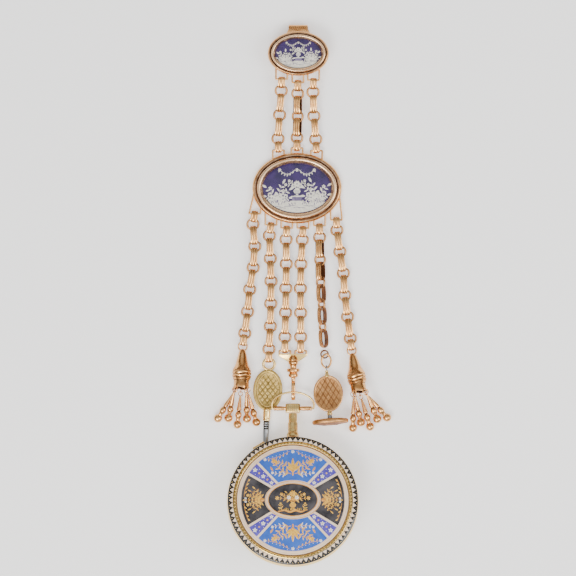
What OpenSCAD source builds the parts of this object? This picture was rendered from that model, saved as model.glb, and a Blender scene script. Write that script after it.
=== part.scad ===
/* [Plaques] */
// Width of the larger oval plaque
plaque_w = 38.6; // [36:0.2:44]
// Height of the larger oval plaque
plaque_h = 30.6; // [28:0.2:34]
// Width of the top oval plaque
top_w = 26.4; // [25:0.2:30]
// Height of the top oval plaque
top_h = 19.2; // [18:0.2:22]
// Distance between the centres of the two plaques
plaque_gap = 57.8; // [55:0.5:60]
// Width of the oval moulding round the larger panel
moulding_w = 4.3; // [3.6:0.1:5]
// Width of the oval moulding round the top panel
top_moulding_w = 3.1; // [2.6:0.1:3.6]
// Height of a plaque's moulding above its flat back
moulding_t = 4.2; // [3.6:0.1:5]
// Thickness of a plaque's back plate
plate_t = 1; // [0.6:0.1:1.4]
// Thickness of an oval panel
panel_t = 1.6; // [1.2:0.1:2]
// Side of the square wire of the stirrups
stirrup_wire = 0.8; // [0.6:0.02:0.84]

/* [Belt hook] */
// Room for the belt between the top plaque and the hook's tongue
belt_gap = 2.8; // [2.6:0.1:3.2]
// Thickness of the hook's strap
hook_t = 0.9; // [0.7:0.1:1.1]
// Width of the crest at its top
crest_w = 8.3; // [7:0.1:10]
// Height of the crest above the frame
crest_h = 3; // [2.4:0.1:3.6]
// Width of the crest's flared root beside the frame
crest_root_w = 13.2; // [12:0.1:14]
// Length of the tongue behind the plaque
tongue_l = 20; // [14:0.5:22]

/* [Chains] */
// Length of a long link
link_l = 8.35; // [8.2:0.05:8.5]
// Width of a long link at its ends
link_w = 3.3; // [3:0.05:3.4]
// Width of a long link at its waist
waist_w = 2.9; // [2.6:0.05:3]
// Thickness of a long link across its loop
link_t = 3.5; // [3:0.1:3.6]
// Thickness of a link's strap
strap_t = 0.42; // [0.36:0.01:0.46]
// Length of a short link
short_l = 5.2; // [5:0.05:5.4]
// Width of a short link
short_w = 3; // [2.6:0.05:3.2]
// Thickness of a short link across its loop
short_t = 2.9; // [2.7:0.05:3]
// Radius of a ring to the middle of its wire
ring_r = 2.4; // [2.36:0.01:2.44]
// Diameter of a ring's wire
ring_wire = 0.7; // [0.6:0.02:0.74]

/* [Tassels] */
// Diameter of a tassel's cap at its widest band
cap_d = 8.4; // [7.6:0.1:8.8]
// Length of the cap's cone above its widest band
cone_l = 9.4; // [9:0.1:9.8]
// Length of the cap below its widest band
bell_l = 7.4; // [7:0.1:7.8]
// Diameter of the collar that holds the drops
collar_d = 6.6; // [6:0.1:7]
// Diameter of the ball at the end of a drop
ball_d = 3.7; // [3.3:0.1:3.8]
// Length of a drop's stem from its eye to its ball
drop_l = 13.4; // [13:0.1:13.8]

/* [Key and seal] */
// Width of the key's oval plate
key_w = 12.7; // [11.5:0.1:13]
// Height of the key's oval plate
key_h = 17.8; // [17:0.1:18.4]
// Thickness of the key's plate
key_t = 1.3; // [1.1:0.1:1.4]
// Diameter of the key's steel barrel at its top
barrel_d = 2.75; // [2.4:0.05:2.9]
// Diameter of the barrel's square-shafted end
barrel_end_d = 2.4; // [2.2:0.05:2.6]
// Width of the seal's oval plate
seal_w = 12.8; // [12:0.1:13]
// Height of the seal's oval plate
seal_h = 15.8; // [15:0.1:16.4]
// Thickness of the seal's plate
seal_t = 1.5; // [1.2:0.1:1.8]
// Width of the seal's oval base
base_w = 15.6; // [14:0.1:17]
// Height of the seal's oval base
base_h = 11; // [10:0.1:11.6]
// Thickness of the seal's base
base_t = 2.2; // [1.8:0.1:2.6]

/* [Swivel] */
// Diameter of the swivel's body
body_d = 4.3; // [4:0.1:4.6]
// Diameter of the flange under the body
flange_d = 5.6; // [5.2:0.1:5.8]
// Diameter of the swivel's pin
pin_d = 1.6; // [1.4:0.05:1.8]
// Width of the hook's strap
hook_w = 1.8; // [1.4:0.1:2.2]
// Height of the hook's loop
hook_h = 4.6; // [4.4:0.1:4.8]

/* [Watch] */
// Diameter of the watch case
case_d = 55.8; // [54:0.2:57]
// Height of the case's band
band_t = 6; // [5.4:0.1:6.6]
// Width of the black and cream ring round the enamel
zigzag_w = 2.3; // [2:0.1:2.6]
// Width of the beaded ring inside it
beaded_w = 1.5; // [1.2:0.1:1.8]
// Rise of the enamel panel's dome
dome_h = 1.2; // [0.8:0.1:1.6]
// Radius of the glass on the dial's side
glass_r = 36; // [36:0.5:40]
// Width of the bezel's seat round the glass
bezel_w = 4.4; // [4.2:0.1:5.2]
// Drop of the glass's rim below the case's back
glass_drop = 0.92; // [0.9:0.02:1.1]
// Length of the pendant's stem outside the case
stem_l = 11.2; // [10.8:0.1:12]
// Diameter of the pendant's stem
stem_d = 3.8; // [3.4:0.1:4]
// Width of the pendant's collar
pendant_w = 6.4; // [6:0.1:7]
// Length of the cross bar that holds the bow
bar_l = 16.4; // [15.8:0.1:16.8]
// Diameter of the cross bar
bar_d = 2; // [1.8:0.1:2.2]
// Diameter of the bow's wire
bow_wire = 0.9; // [0.8:0.02:1]
// Width of the bow to the middle of its wire
bow_w = 18.2; // [18:0.1:18.6]
// Height of the bow above the cross bar
bow_h = 7; // [6.8:0.1:7.2]

/* [Hidden] */
$fn = 48;

// Small gap between two pieces that are fitted together
fit_gap = 0.1;
// Overlap that makes soldered pieces one solid
solder = 0.3;
// Facets round an oval
oval_n = 56;

// Routes of the chains: the middles of their rings, each x, y, z and the roll in degrees
UPPER_LEFT = [[-6.8, 41.9, 4.3, 0], [-7.5, 31.5, 2.6, 0], [-8.2, 21.3, 1.9, 0]];
UPPER_MIDDLE = [[0.3, 40.6, 4.4, 12], [0.3, 30.9, 2.9, 26], [0.0, 21.7, 2.2, 16]];
UPPER_RIGHT = [[6.9, 41.3, 4.35, 0], [7.3, 31.0, 2.6, 0], [8.1, 21.0, 1.9, 0]];
LOWER_1 = [[-19.0, -15.6, 1.8, 0], [-18.2, -25.1, 1.8, 0], [-18.9, -34.3, 1.8, 0],
    [-20.4, -43.7, 1.8, 0], [-21.3, -53.3, 1.8, 0], [-22.5, -62.6, 1.8, 0]];
LOWER_2 = [[-11.9, -20.5, 1.8, 0], [-11.5, -30.4, 1.8, 0], [-11.2, -40.1, 1.8, 0],
    [-11.3, -49.8, 1.8, 0], [-11.5, -59.6, 1.8, 0], [-12.1, -69.4, 1.8, 0]];
LOWER_3 = [[-4.7, -22.2, 1.8, 0], [-4.6, -32.7, 1.8, 0], [-4.8, -43.2, 1.8, 0],
    [-4.9, -53.7, 1.8, 0], [-5.2, -64.2, 1.8, 0]];
LOWER_4 = [[2.3, -22.3, 1.8, 0], [1.7, -32.8, 1.8, 0], [1.5, -43.3, 1.8, 0],
    [1.6, -53.8, 1.8, 0], [1.6, -64.2, 1.8, 0]];
LOWER_5 = [[9.75, -21.25, 1.85, 10], [9.95, -30.9, 2.35, 30], [10.2, -40.6, 2.5, 48],
    [10.6, -50.1, 2.5, 60], [11.0, -59.6, 2.5, 60]];
LOWER_6 = [[17.2, -18.2, 1.8, 0], [18.5, -27.4, 1.8, 0], [20.0, -36.7, 1.8, 0],
    [20.6, -46.2, 1.8, 0], [21.8, -55.5, 1.8, 0], [23.0, -64.9, 1.8, 0]];

// Height of an oval's edge above its middle, at x
function oval_y(w, h, x) = h / 2 * sqrt(max(0, 1 - pow(2 * x / w, 2)));

// Width of a stirrup
stirrup_w = 5.7;

// A point on an oval, moved inwards by inset
function oval_pt(w, h, inset, a) =
    let (n = [h * cos(a), w * sin(a)])
    [w / 2 * cos(a), h / 2 * sin(a)] - inset * n / norm(n);
function oval(w, h, inset = 0) = [for (i = [0:oval_n - 1]) oval_pt(w, h, inset, i * 360 / oval_n)];

// Outline from the points of its right side, with the same points mirrored
function both_sides(half) = concat(half, [for (i = [len(half) - 1:-1:0]) [-half[i][0], half[i][1]]]);

// Closed tube through rings of points, each ring with the same number of points
module skin(rings, closed = false) {
    n = len(rings);
    m = len(rings[0]);
    last = closed ? n - 1 : n - 2;
    walls = [for (i = [0:last], j = [0:m - 1])
        let (a = i * m, b = ((i + 1) % n) * m, k = (j + 1) % m)
        each [[a + j, b + j, b + k], [a + j, b + k, a + k]]];
    caps = closed ? [] : [[for (j = [0:m - 1]) j], [for (j = [m - 1:-1:0]) (n - 1) * m + j]];
    polyhedron([for (r = rings) each r], concat(walls, caps));
}

// Oval moulding: profile rows are inset and height, going round the section
module oval_moulding(w, h, profile) {
    skin([for (i = [0:oval_n - 1]) [for (p = profile)
        let (q = oval_pt(w, h, p[0], -i * 360 / oval_n))
        [q[0], q[1], p[1]]]], closed = true);
}

// Section of a plaque's moulding: rounded outer roll, groove, then the bezel round the panel
function moulding_rows(mw, t) = [
    [0.25, 0], [0, 0.3 * t], [0.1 * mw, 0.62 * t], [0.3 * mw, 0.68 * t], [0.42 * mw, 0.56 * t],
    [0.5 * mw, 0.9 * t], [0.68 * mw, t], [0.86 * mw, 0.92 * t], [mw, 0.74 * t], [mw, 0],
];

// Stirrup: a bar across the chain and two posts whose feet run into the moulding
module stirrup(bar, feet, z) {
    half = (stirrup_w - stirrup_wire) / 2;
    for (s = [0, 1]) {
        x = bar[0] + (s == 0 ? -half : half);
        translate([0, 0, z - stirrup_wire / 2])
            linear_extrude(stirrup_wire)
                polygon([
                    [x - stirrup_wire / 2, bar[1]], [x + stirrup_wire / 2, bar[1]],
                    [feet[s][0] + stirrup_wire / 2, feet[s][1]], [feet[s][0] - stirrup_wire / 2, feet[s][1]],
                ]);
    }
    translate([bar[0] - stirrup_w / 2, bar[1] - stirrup_wire / 2, z - stirrup_wire / 2])
        cube([stirrup_w, stirrup_wire, stirrup_wire]);
}

// Feet straight above or below a bar, inside an oval frame
function straight_feet(w, h, x, side) =
    let (half = (stirrup_w - stirrup_wire) / 2)
    [for (s = [-1, 1]) [x + s * half, side * (oval_y(w, h, x + s * half) - 1.2)]];

module plaque_body(w, h, mw) {
    oval_moulding(w, h, moulding_rows(mw, moulding_t));
    linear_extrude(plate_t)
        polygon(oval(w, h, mw - solder));
}

// Bars of the larger plaque, measured from its edge so that they follow its height
top_bars = [[-8.0, 2.4], [0, 2.0], [8.4, 2.4]];
low_bars = [[-11.2, -3.4], [-4.4, -2.3], [2.6, -2.1], [9.7, -2.9]];
// Bars beside the lowest ones, whose outer posts are long
left_bar = [-18.2, -11];
right_bar = [17, -13.7];
side_foot_in = 1;
left_foot_y = -1.4;
left_foot_x = -15.4;
right_foot_y = -3;
right_foot_x = 14.4;
function low_foot(x) = [x, 2 - oval_y(plaque_w, plaque_h, x)];
stirrup_z = 1.8;

module main_plaque_frame() {
    color("tan")
    union() {
        plaque_body(plaque_w, plaque_h, moulding_w);
        for (b = top_bars)
            stirrup([b[0], oval_y(plaque_w, plaque_h, b[0]) + b[1]],
                straight_feet(plaque_w, plaque_h, b[0], 1), stirrup_z);
        for (b = low_bars)
            stirrup([b[0], -oval_y(plaque_w, plaque_h, b[0]) + b[1]],
                straight_feet(plaque_w, plaque_h, b[0], -1), stirrup_z);
        stirrup(left_bar, [[side_foot_in - plaque_w / 2, left_foot_y], low_foot(left_foot_x)], stirrup_z);
        stirrup(right_bar, [low_foot(right_foot_x), [plaque_w / 2 - side_foot_in, right_foot_y]], stirrup_z);
    }
}

// Flat oval panel with a bevelled edge, in the opening of a moulding
module panel(w, h, mw) {
    translate([0, 0, plate_t + fit_gap]) {
        linear_extrude(panel_t * 0.8)
            polygon(oval(w, h, mw + fit_gap));
        linear_extrude(panel_t)
            polygon(oval(w, h, mw + fit_gap + 0.5));
    }
}

module main_miniature() {
    color("slateblue")
        panel(plaque_w, plaque_h, moulding_w);
}

// The top plaque lies on the tongue of its belt hook, a little to the right
top_x = 0.56;
top_z = 2 * hook_t + belt_gap + fit_gap;
top_stirrup_z = top_z + stirrup_wire / 2 + 0.3;
upper_bars = [[-7.16, -2.9], [-0.16, -2.8], [6.54, -3.1]];

module top_plaque_frame() {
    color("tan")
    translate([top_x, plaque_gap, 0])
    union() {
        translate([0, 0, top_z])
            plaque_body(top_w, top_h, top_moulding_w);
        for (b = upper_bars)
            stirrup([b[0], -oval_y(top_w, top_h, b[0]) + b[1]],
                straight_feet(top_w, top_h, b[0], -1), top_stirrup_z);
    }
}

module top_miniature() {
    color("slateblue")
    translate([top_x, plaque_gap, top_z])
        panel(top_w, top_h, top_moulding_w);
}

// Crest and tongue: one strap bent round the belt gap, with flared roots beside the frame
crest_step = 0.6;
crest_sink = 4;
tongue_tip_l = 3;
tongue_tip_w = 3.2;
tongue_end_w = 6;
module belt_hook() {
    top = top_h / 2 + crest_h;
    under = crest_root_w / 2 - crest_step;
    root = oval_y(top_w, top_h, under) - 1.4;
    bend = hook_t + belt_gap / 2;
    end = top - tongue_l;
    crest = [[crest_w / 2, top - bend], [crest_w / 2 + 0.5, top - 1.4], [under - crest_step, top - 2.2],
        [crest_root_w / 2, root], [under, root - crest_sink]];
    tongue = [[crest_w / 2, top - bend], [tongue_end_w / 2, end + tongue_tip_l], [tongue_tip_w / 2, end]];
    color("tan")
    translate([top_x, plaque_gap, 0])
    union() {
        translate([0, 0, hook_t + belt_gap])
            linear_extrude(hook_t)
                polygon(both_sides(crest));
        translate([-crest_w / 2, top - bend, bend])
            rotate([90, 0, 90])
                difference() {
                    cylinder(r = bend, h = crest_w);
                    translate([0, 0, -1])
                        cylinder(r = bend - hook_t, h = crest_w + 2);
                    translate([-2 * bend, -2 * bend, -1])
                        cube([2 * bend, 4 * bend, crest_w + 2]);
                }
        linear_extrude(hook_t)
            polygon(both_sides(tongue));
    }
}

// Strap loop of a link along Y with its eye across X; the strap narrows beside the rings' wire
module strap_loop(len, wide, mid, thick, strap) {
    n = 16;
    rings = [for (i = [0:n - 1])
        let (a = (i + 0.5) * 360 / n, ca = cos(a), sa = sin(a),
            y = pow(abs(ca), 0.8) * sign(ca), z = pow(abs(sa), 0.8) * sign(sa),
            tip = abs(z * thick / 2) < 1 && abs(y) > 0.5,
            w = (tip ? min(wide, tip_w) : mid + (wide - mid) * pow(abs(y), 2)) / 2,
            out = [y * len / 2, z * thick / 2],
            in = [y * (len / 2 - strap), z * (thick / 2 - strap)])
        [[-w, out[0], out[1]], [-w, in[0], in[1]], [w, in[0], in[1]], [w, out[0], out[1]]]];
    skin(rings, closed = true);
}

// Place children at p with their Y axis along d and rolled about it
module along(p, d, roll) {
    az = atan2(-d[0], d[1]);
    el = atan2(d[2], norm([d[0], d[1]]));
    translate([p[0], p[1], p[2]])
        rotate([0, 0, az])
            rotate([el, 0, 0])
                rotate([0, roll, 0])
                    children();
}

module wire_ring(r, wire) {
    rotate_extrude()
        translate([r, 0])
            circle(d = wire, $fn = 24);
}

module long_link() {
    strap_loop(link_l, link_w, waist_w, link_t, strap_t);
}

// Play at the ends of a short link, and how much of a strap loop's length its facets keep
link_play = 0.2;
loop_fill = 0.985;
// Width of a strap where it bends through a ring
tip_w = 2.3;

// Short link between a bar and a ring, with equal play at both ends
module short_link(bar, ring, roll = 0) {
    d = bar - ring;
    u = d / norm(d);
    near = sqrt(pow(ring_r - ring_wire / 2, 2) - pow(tip_w / 2, 2)) - link_play - strap_t;
    far = norm(d) + stirrup_wire / 2 + link_play + strap_t;
    along(ring + u * (near + far) / 2, d[1] > 0 ? -u : u, roll)
        strap_loop(max(short_l, (far - near) / loop_fill), short_w, short_w, short_t, strap_t);
}

function xyz(row) = [row[0], row[1], row[2]];

// A chain along its route: a ring at each row and a long link between two rows
module chain(rows) {
    n = len(rows);
    for (i = [0:n - 1]) {
        a = xyz(rows[max(0, i - 1)]);
        b = xyz(rows[min(n - 1, i + 1)]);
        along(xyz(rows[i]), b - a, rows[i][3])
            wire_ring(ring_r, ring_wire);
    }
    for (i = [0:n - 2])
        along((xyz(rows[i]) + xyz(rows[i + 1])) / 2, xyz(rows[i + 1]) - xyz(rows[i]),
            (rows[i][3] + rows[i + 1][3]) / 2)
            long_link();
}

function main_bar(b, side) = [b[0], side * oval_y(plaque_w, plaque_h, b[0]) + b[1], stirrup_z];
function upper_bar(b) = [top_x + b[0], plaque_gap - oval_y(top_w, top_h, b[0]) + b[1], top_stirrup_z];

module upper_chain(rows, upper, lower) {
    color("tan") {
        chain(rows);
        short_link(upper_bar(upper), xyz(rows[0]), rows[0][3] / 4);
        short_link(main_bar(lower, 1), xyz(rows[len(rows) - 1]), rows[len(rows) - 1][3] / 4);
    }
}

module upper_chain_left() { upper_chain(UPPER_LEFT, upper_bars[0], top_bars[0]); }
module upper_chain_middle() { upper_chain(UPPER_MIDDLE, upper_bars[1], top_bars[1]); }
module upper_chain_right() { upper_chain(UPPER_RIGHT, upper_bars[2], top_bars[2]); }

module lower_chain(rows, bar) {
    color("tan") {
        chain(rows);
        short_link(bar, xyz(rows[0]), rows[0][3] / 4);
        children();
    }
}

// Ring at the end of a chain that a tassel, key or seal hangs on
tassel_ring_r = 1.9;
LEFT_RING = [-23.4, -68.2, 1.8];
RIGHT_RING = [23.6, -70.0, 1.8];
KEY_RING = [-12.1, -75.9, 1.68];
// Bars of the swivel's yoke, in line with the two middle chains and below their last rings
yoke_gap = 5.9;
yoke_y = LOWER_3[4][1] - yoke_gap;
yoke_drop = 1.9;
yoke_left = LOWER_3[4][0];
yoke_right = LOWER_4[4][0];

module end_link(ring, last) {
    short_link(ring + (last - ring) / norm(last - ring) * tassel_ring_r, last);
}

module lower_chain_1() {
    lower_chain(LOWER_1, [left_bar[0], left_bar[1], stirrup_z])
        end_link(LEFT_RING, xyz(LOWER_1[5]));
}
module lower_chain_2() {
    lower_chain(LOWER_2, main_bar(low_bars[0], -1))
        end_link(KEY_RING, xyz(LOWER_2[5]));
}
module lower_chain_3() {
    lower_chain(LOWER_3, main_bar(low_bars[1], -1))
        short_link([yoke_left, yoke_y, stirrup_z], xyz(LOWER_3[4]));
}
module lower_chain_4() {
    lower_chain(LOWER_4, main_bar(low_bars[2], -1))
        short_link([yoke_right, yoke_y, stirrup_z], xyz(LOWER_4[4]));
}
// Last link and small ring of the fifth chain, from its last full ring
loose_link = [0.4, -5.1, -0.2];
loose_ring = [0.9, -12, -0.9];
loose_ring_r = 1.6;
module lower_chain_5() {
    last = LOWER_5[4];
    lower_chain(LOWER_5, main_bar(low_bars[3], -1)) {
        along(xyz(last) + loose_link, loose_link, last[3])
            long_link();
        translate(xyz(last) + loose_ring)
            wire_ring(loose_ring_r, ring_wire);
    }
}
module lower_chain_6() {
    lower_chain(LOWER_6, [right_bar[0], right_bar[1], stirrup_z])
        end_link(RIGHT_RING, xyz(LOWER_6[5]));
}

// Place children with their Z axis along d
module turned(p, d) {
    along(p, d, 0)
        rotate([-90, 0, 0])
            children();
}

// Tassels, in a frame whose origin is the middle of the tassel's ring and whose axis runs along -Y and up
tassel_rise = asin(max(0.1, (cap_d / 2 + 0.1 - LEFT_RING[2]) / (cone_l + tassel_ring_r)));
tassel_axis = [0, -cos(tassel_rise), sin(tassel_rise)];
apex_s = tassel_ring_r - 0.2;
hole_s = apex_s + cone_l + bell_l - 0.9;
jump_r = 1.15;
jump_wire = 0.36;
eye_r = 0.9;
// Distance from a hole to the eye of its drop, which hangs inside the jump ring
hang_l = 2 * jump_r - 0.56;
drop_hole_d = 0.9;
// Drops of each tassel: place round the collar in degrees, and the ball's distance from the axis across it
LEFT_DROPS = [[202, -9.6], [131, -5.1], [270, -1.1], [58, 2.9], [345, 7.0]];
RIGHT_DROPS = [[200, -5.3], [124, -1.5], [270, 2.1], [50, 5.7], [345, 10]];

// A point at distance s along the tassel's axis, r away from it at angle a
function round_axis(s, r, a) =
    s * tassel_axis + r * cos(a) * [1, 0, 0] + r * sin(a) * [0, sin(tassel_rise), cos(tassel_rise)];

module tassel_cap(drops) {
    r = cap_d / 2;
    c = collar_d / 2;
    m = apex_s + cone_l;
    e = m + bell_l;
    color("tan")
    union() {
        wire_ring(tassel_ring_r, ring_wire);
        difference() {
            turned([0, 0, 0], tassel_axis)
                rotate_extrude()
                    polygon([
                        [0, apex_s], [1.2, apex_s], [r - 0.35, m - 0.5], [r, m], [r - 0.1, m + 0.9],
                        [r - 0.4, m + 1.4], [r - 0.05, m + 2.2], [r - 0.3, m + 3.2], [c + 0.1, m + 3.9],
                        [c, m + 4.2], [c, e], [c - 0.6, e], [c - 0.6, m + 1], [0, m],
                    ]);
            for (d = drops)
                turned(round_axis(hole_s, c - 1.4, d[0]), round_axis(0, 1, d[0]))
                    cylinder(d = drop_hole_d, h = 2.4, $fn = 16);
        }
    }
}

// A drop: eye, tapering stem, pear and ball, with its Z axis along it and its eye at the origin
module drop() {
    b = ball_d / 2;
    union() {
        rotate([90, 0, 0])
            wire_ring(eye_r, jump_wire);
        rotate_extrude()
            polygon(concat(
                [[0, eye_r - 0.1], [0.45, eye_r - 0.1], [1.03, drop_l * 0.52], [0.7, drop_l * 0.56],
                    [1.2, drop_l * 0.62], [1.4, drop_l * 0.7], [0.95, drop_l * 0.8]],
                [for (a = [30:20:170]) [b * sin(a), drop_l - b * cos(a)]],
                [[0, drop_l + b]]
            ));
    }
}

// Place children at p with their axes along x, y and z
module framed(p, x, y, z) {
    multmatrix([[x[0], y[0], z[0], p[0]], [x[1], y[1], z[1], p[1]], [x[2], y[2], z[2], p[2]]])
        children();
}
function unit(v) = v / norm(v);

// Line of a given length from a point to a ball at x across the axis, lying on the surface
function to_ball(p, x, floor_z, length) =
    let (dx = x - p[0], dz = floor_z + ball_d / 2 + 0.05 - p[2])
    [dx, -sqrt(length * length - dx * dx - dz * dz), dz];

module tassel_drops(drops, floor_z) {
    color("tan")
    for (d = drops) {
        hole = round_axis(hole_s, collar_d / 2 - 0.3, d[0]);
        out = unit(round_axis(0, 1, d[0]));
        stem = drop_l + eye_r;
        line = to_ball(hole, d[1], floor_z, stem + hang_l);
        down = unit(line - (line * out) * out);
        side = cross(down, out);
        framed(hole + jump_r * down, down, out, -side)
            wire_ring(jump_r, jump_wire);
        hang = hole + hang_l * down;
        z = unit(to_ball(hang, d[1], floor_z, stem));
        y = unit(cross(z, side));
        framed(hang + eye_r * z, cross(y, z), y, z)
            drop();
    }
}

module at_left() {
    translate(LEFT_RING)
        rotate([0, 0, -2])
            children();
}
module at_right() {
    translate(RIGHT_RING)
        rotate([0, 0, 10])
            children();
}
module tassel_left_cap() { at_left() tassel_cap(LEFT_DROPS); }
module tassel_left_drops() { at_left() tassel_drops(LEFT_DROPS, -LEFT_RING[2]); }
module tassel_right_cap() { at_right() tassel_cap(RIGHT_DROPS); }
module tassel_right_drops() { at_right() tassel_drops(RIGHT_DROPS, -RIGHT_RING[2]); }

// Key: ring, oval plate and collar on one axis along -Y; the collar rests on the surface
key_ring_r = 2.43;
key_ring_wire = 1.2;
key_mid = key_ring_r + key_h / 2 - 0.2;
collar_s = key_mid + key_h / 2 - 0.6;
collar_l = 5;
key_collar_d = 3.3;
key_turn = -2.5;
module at_key() {
    translate(KEY_RING)
        rotate([0, 0, key_turn])
            children();
}

module watch_key() {
    color("darkkhaki")
    at_key()
    union() {
        wire_ring(key_ring_r, key_ring_wire);
        translate([0, -key_mid, -key_t / 2])
            linear_extrude(key_t)
                polygon(oval(key_w, key_h));
        turned([0, -collar_s, 0], [0, -1, 0])
            cylinder(d1 = key_collar_d, d2 = key_collar_d - 0.3, h = collar_l);
    }
}

// Barrel with a square socket in its end
module key_barrel() {
    barrel_l = 10.8;
    square_w = 1.2;
    square_l = 4;
    color("gray")
    at_key()
    turned([0, -collar_s - collar_l - fit_gap, 0], [0, -1, 0])
        difference() {
            cylinder(d1 = barrel_d, d2 = barrel_end_d, h = barrel_l);
            translate([-square_w / 2, -square_w / 2, barrel_l - square_l])
                cube([square_w, square_w, square_l + 1]);
        }
}

// Pointed ring that the seal hangs on
SEAL_RING = [12.6, -74.5, 2.5];
seal_ring_l = 6;
seal_ring_w = 4.1;
seal_ring_wire = 0.9;
module seal_ring() {
    n = 28;
    rings = [for (i = [0:n - 1])
        let (t = i * 360 / n, u = t + 1, v = t - 1,
            p = ring_pt(t), d = ring_pt(u) - ring_pt(v), q = [d[1], -d[0]] / norm(d))
        [for (j = [0:5]) let (a = j * 60) [
            p[0] + q[0] * cos(a) * seal_ring_wire / 2,
            p[1] + q[1] * cos(a) * seal_ring_wire / 2,
            sin(a) * seal_ring_wire / 2]]];
    color("tan")
    translate(SEAL_RING)
        skin(rings, closed = true);
}
function ring_pt(t) = [seal_ring_w / 2 * cos(t) * pow(abs(cos(t)) + 0.001, 0.3), seal_ring_l / 2 * sin(t)];

// Seal on one axis from its eye to its base, which stands on its edge
seal_eye = SEAL_RING + [0.1, -seal_ring_l / 2 - 0.1, 0];
seal_eye_r = 1.1;
seal_eye_wire = 0.6;
seal_turn = 4;
base_s = 23.2;
seal_rise = asin((base_h / 2 + 0.1 - seal_eye[2]) / base_s);
module seal() {
    color("tan")
    translate(seal_eye)
    rotate([0, 0, seal_turn])
    rotate([-seal_rise, 0, 0])
    union() {
        rotate([0, 90, 0])
            wire_ring(seal_eye_r, seal_eye_wire);
        turned([0, -0.95, 0], [0, -1, 0])
            cylinder(d1 = 1.3, d2 = 2.2, h = 2.6);
        translate([0, -3.1 - seal_h / 2, -seal_t / 2])
            linear_extrude(seal_t)
                polygon(oval(seal_w, seal_h));
        turned([0, -2.6 - seal_h, 0], [0, -1, 0])
            cylinder(d = 2.3, h = base_s - seal_h - 3.2);
        translate([0, base_t / 2 - base_s, 0])
            rotate([90, 0, 0])
                linear_extrude(base_t)
                    polygon(oval(base_w, base_h));
    }
}

// Swivel: its body and hook turn about an axis along -Y
swivel = [-1.6, yoke_y - yoke_drop, flange_d / 2 + 0.1];
neck_s = 5.6;
yoke_t = 1.4;
yoke_tip_w = 4;
yoke_tip_l = 3;
yoke_foot_in = 0.5;
// Cavity for the head of the hook's pin: its place along the axis, its length and radius
cavity_s = 1.5;
cavity_l = 1.6;
cavity_r = 1.25;
head_play = 0.15;
run_gap = 0.08;

// Flat plate from the two bars to the swivel's body
module yoke_plate() {
    half = stirrup_w / 2;
    translate([0, 0, stirrup_z - yoke_t / 2])
        linear_extrude(yoke_t)
            polygon([[yoke_left - half, swivel[1] + 0.6], [yoke_right + half, swivel[1] + 0.6],
                [yoke_right + half, swivel[1] - 0.2], [swivel[0] + yoke_tip_w / 2, swivel[1] - yoke_tip_l],
                [swivel[0] - yoke_tip_w / 2, swivel[1] - yoke_tip_l], [yoke_left - half, swivel[1] - 0.2]]);
}

module swivel_yoke() {
    half = stirrup_w / 2 - yoke_foot_in;
    color("tan")
    difference() {
        union() {
            for (x = [yoke_left, yoke_right])
                stirrup([x, yoke_y], [[x - half, swivel[1]], [x + half, swivel[1]]], stirrup_z);
            yoke_plate();
            turned(swivel, [0, -1, 0])
                rotate_extrude()
                    polygon([
                        [0, 0], [0.8, 0.15], [1.4, 0.6], [body_d / 2 - 0.4, 1.3], [body_d / 2 - 0.2, 2.4],
                        [body_d / 2, 3.4], [1.6, 4.4], [1.4, 5], [1.5, neck_s], [0, neck_s],
                    ]);
        }
        turned(swivel, [0, -1, 0]) {
            translate([0, 0, cavity_s])
                cylinder(r = cavity_r, h = cavity_l);
            translate([0, 0, cavity_s + 0.5])
                cylinder(d = pin_d + 2 * run_gap, h = neck_s);
        }
    }
}

hook_s = 11;
hook_l = 8.4;
hook_strap = 1.1;
// Open gap in the hook's upper side, and its distance from the loop's end
hook_gap = 1.5;
gap_s = 3.9;
module stadium(l, h) {
    translate([h / 2, -h / 2])
        square([l - h, h]);
    translate([h / 2, 0])
        circle(d = h);
    translate([l - h / 2, 0])
        circle(d = h);
}
module swivel_hook() {
    head_s = cavity_s + head_play;
    head_end = cavity_s + cavity_l - head_play;
    color("tan")
    union() {
        turned(swivel, [0, -1, 0])
            rotate_extrude()
                polygon([
                    [0, head_s], [cavity_r - 0.1, head_s], [cavity_r - 0.1, head_end], [pin_d / 2, head_end],
                    [pin_d / 2, neck_s + 0.1], [2, neck_s + 0.1], [flange_d / 2, neck_s + 0.7],
                    [flange_d / 2, neck_s + 1.2], [1.7, neck_s + 1.9], [1.95, neck_s + 2.6],
                    [1.9, neck_s + 3.5], [1.2, neck_s + 4.1], [0.9, neck_s + 4.3],
                    [0.9, hook_s + 0.6], [0, hook_s + 0.6],
                ]);
        translate([swivel[0] - hook_w / 2, swivel[1] - hook_s, swivel[2]])
            rotate([90, 0, 90])
                mirror([1, 0, 0])
                    linear_extrude(hook_w)
                        difference() {
                            stadium(hook_l, hook_h);
                            translate([hook_strap, 0])
                                stadium(hook_l - 2 * hook_strap, hook_h - 2 * hook_strap);
                            translate([hook_l - gap_s, 0])
                                square([hook_gap, hook_h]);
                        }
    }
}

// Watch: the cross bar that the bow turns on hangs below the hook by the bow's height
bow_in_hook = 4.9;
bar_y = swivel[1] - hook_s - bow_in_hook - bow_h;
bar_z = 3.45;
bar_x = -1.8;
reach = case_d / 2 + stem_l + bar_d * 0.9;
// The glass: its middle bulges below the bezel, and its centre of curvature is above the case's middle
glass_d = case_d - 2 * bezel_w;
glass_t = 0.8;
glass_c = sqrt(pow(glass_r, 2) - pow(glass_d / 2, 2)) - band_t / 2 - glass_drop;
function glass_z(rad, x) = glass_c - sqrt(rad * rad - x * x);
// The watch leans until its glass just touches the surface
watch_lean = atan2(reach, glass_c) - acos((glass_r - bar_z) / norm([reach, glass_c]));
watch_at = [bar_x, bar_y - reach * cos(watch_lean), bar_z + reach * sin(watch_lean)];
module in_watch() {
    translate(watch_at)
        rotate([-watch_lean, 0, 0])
            children();
}

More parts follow.
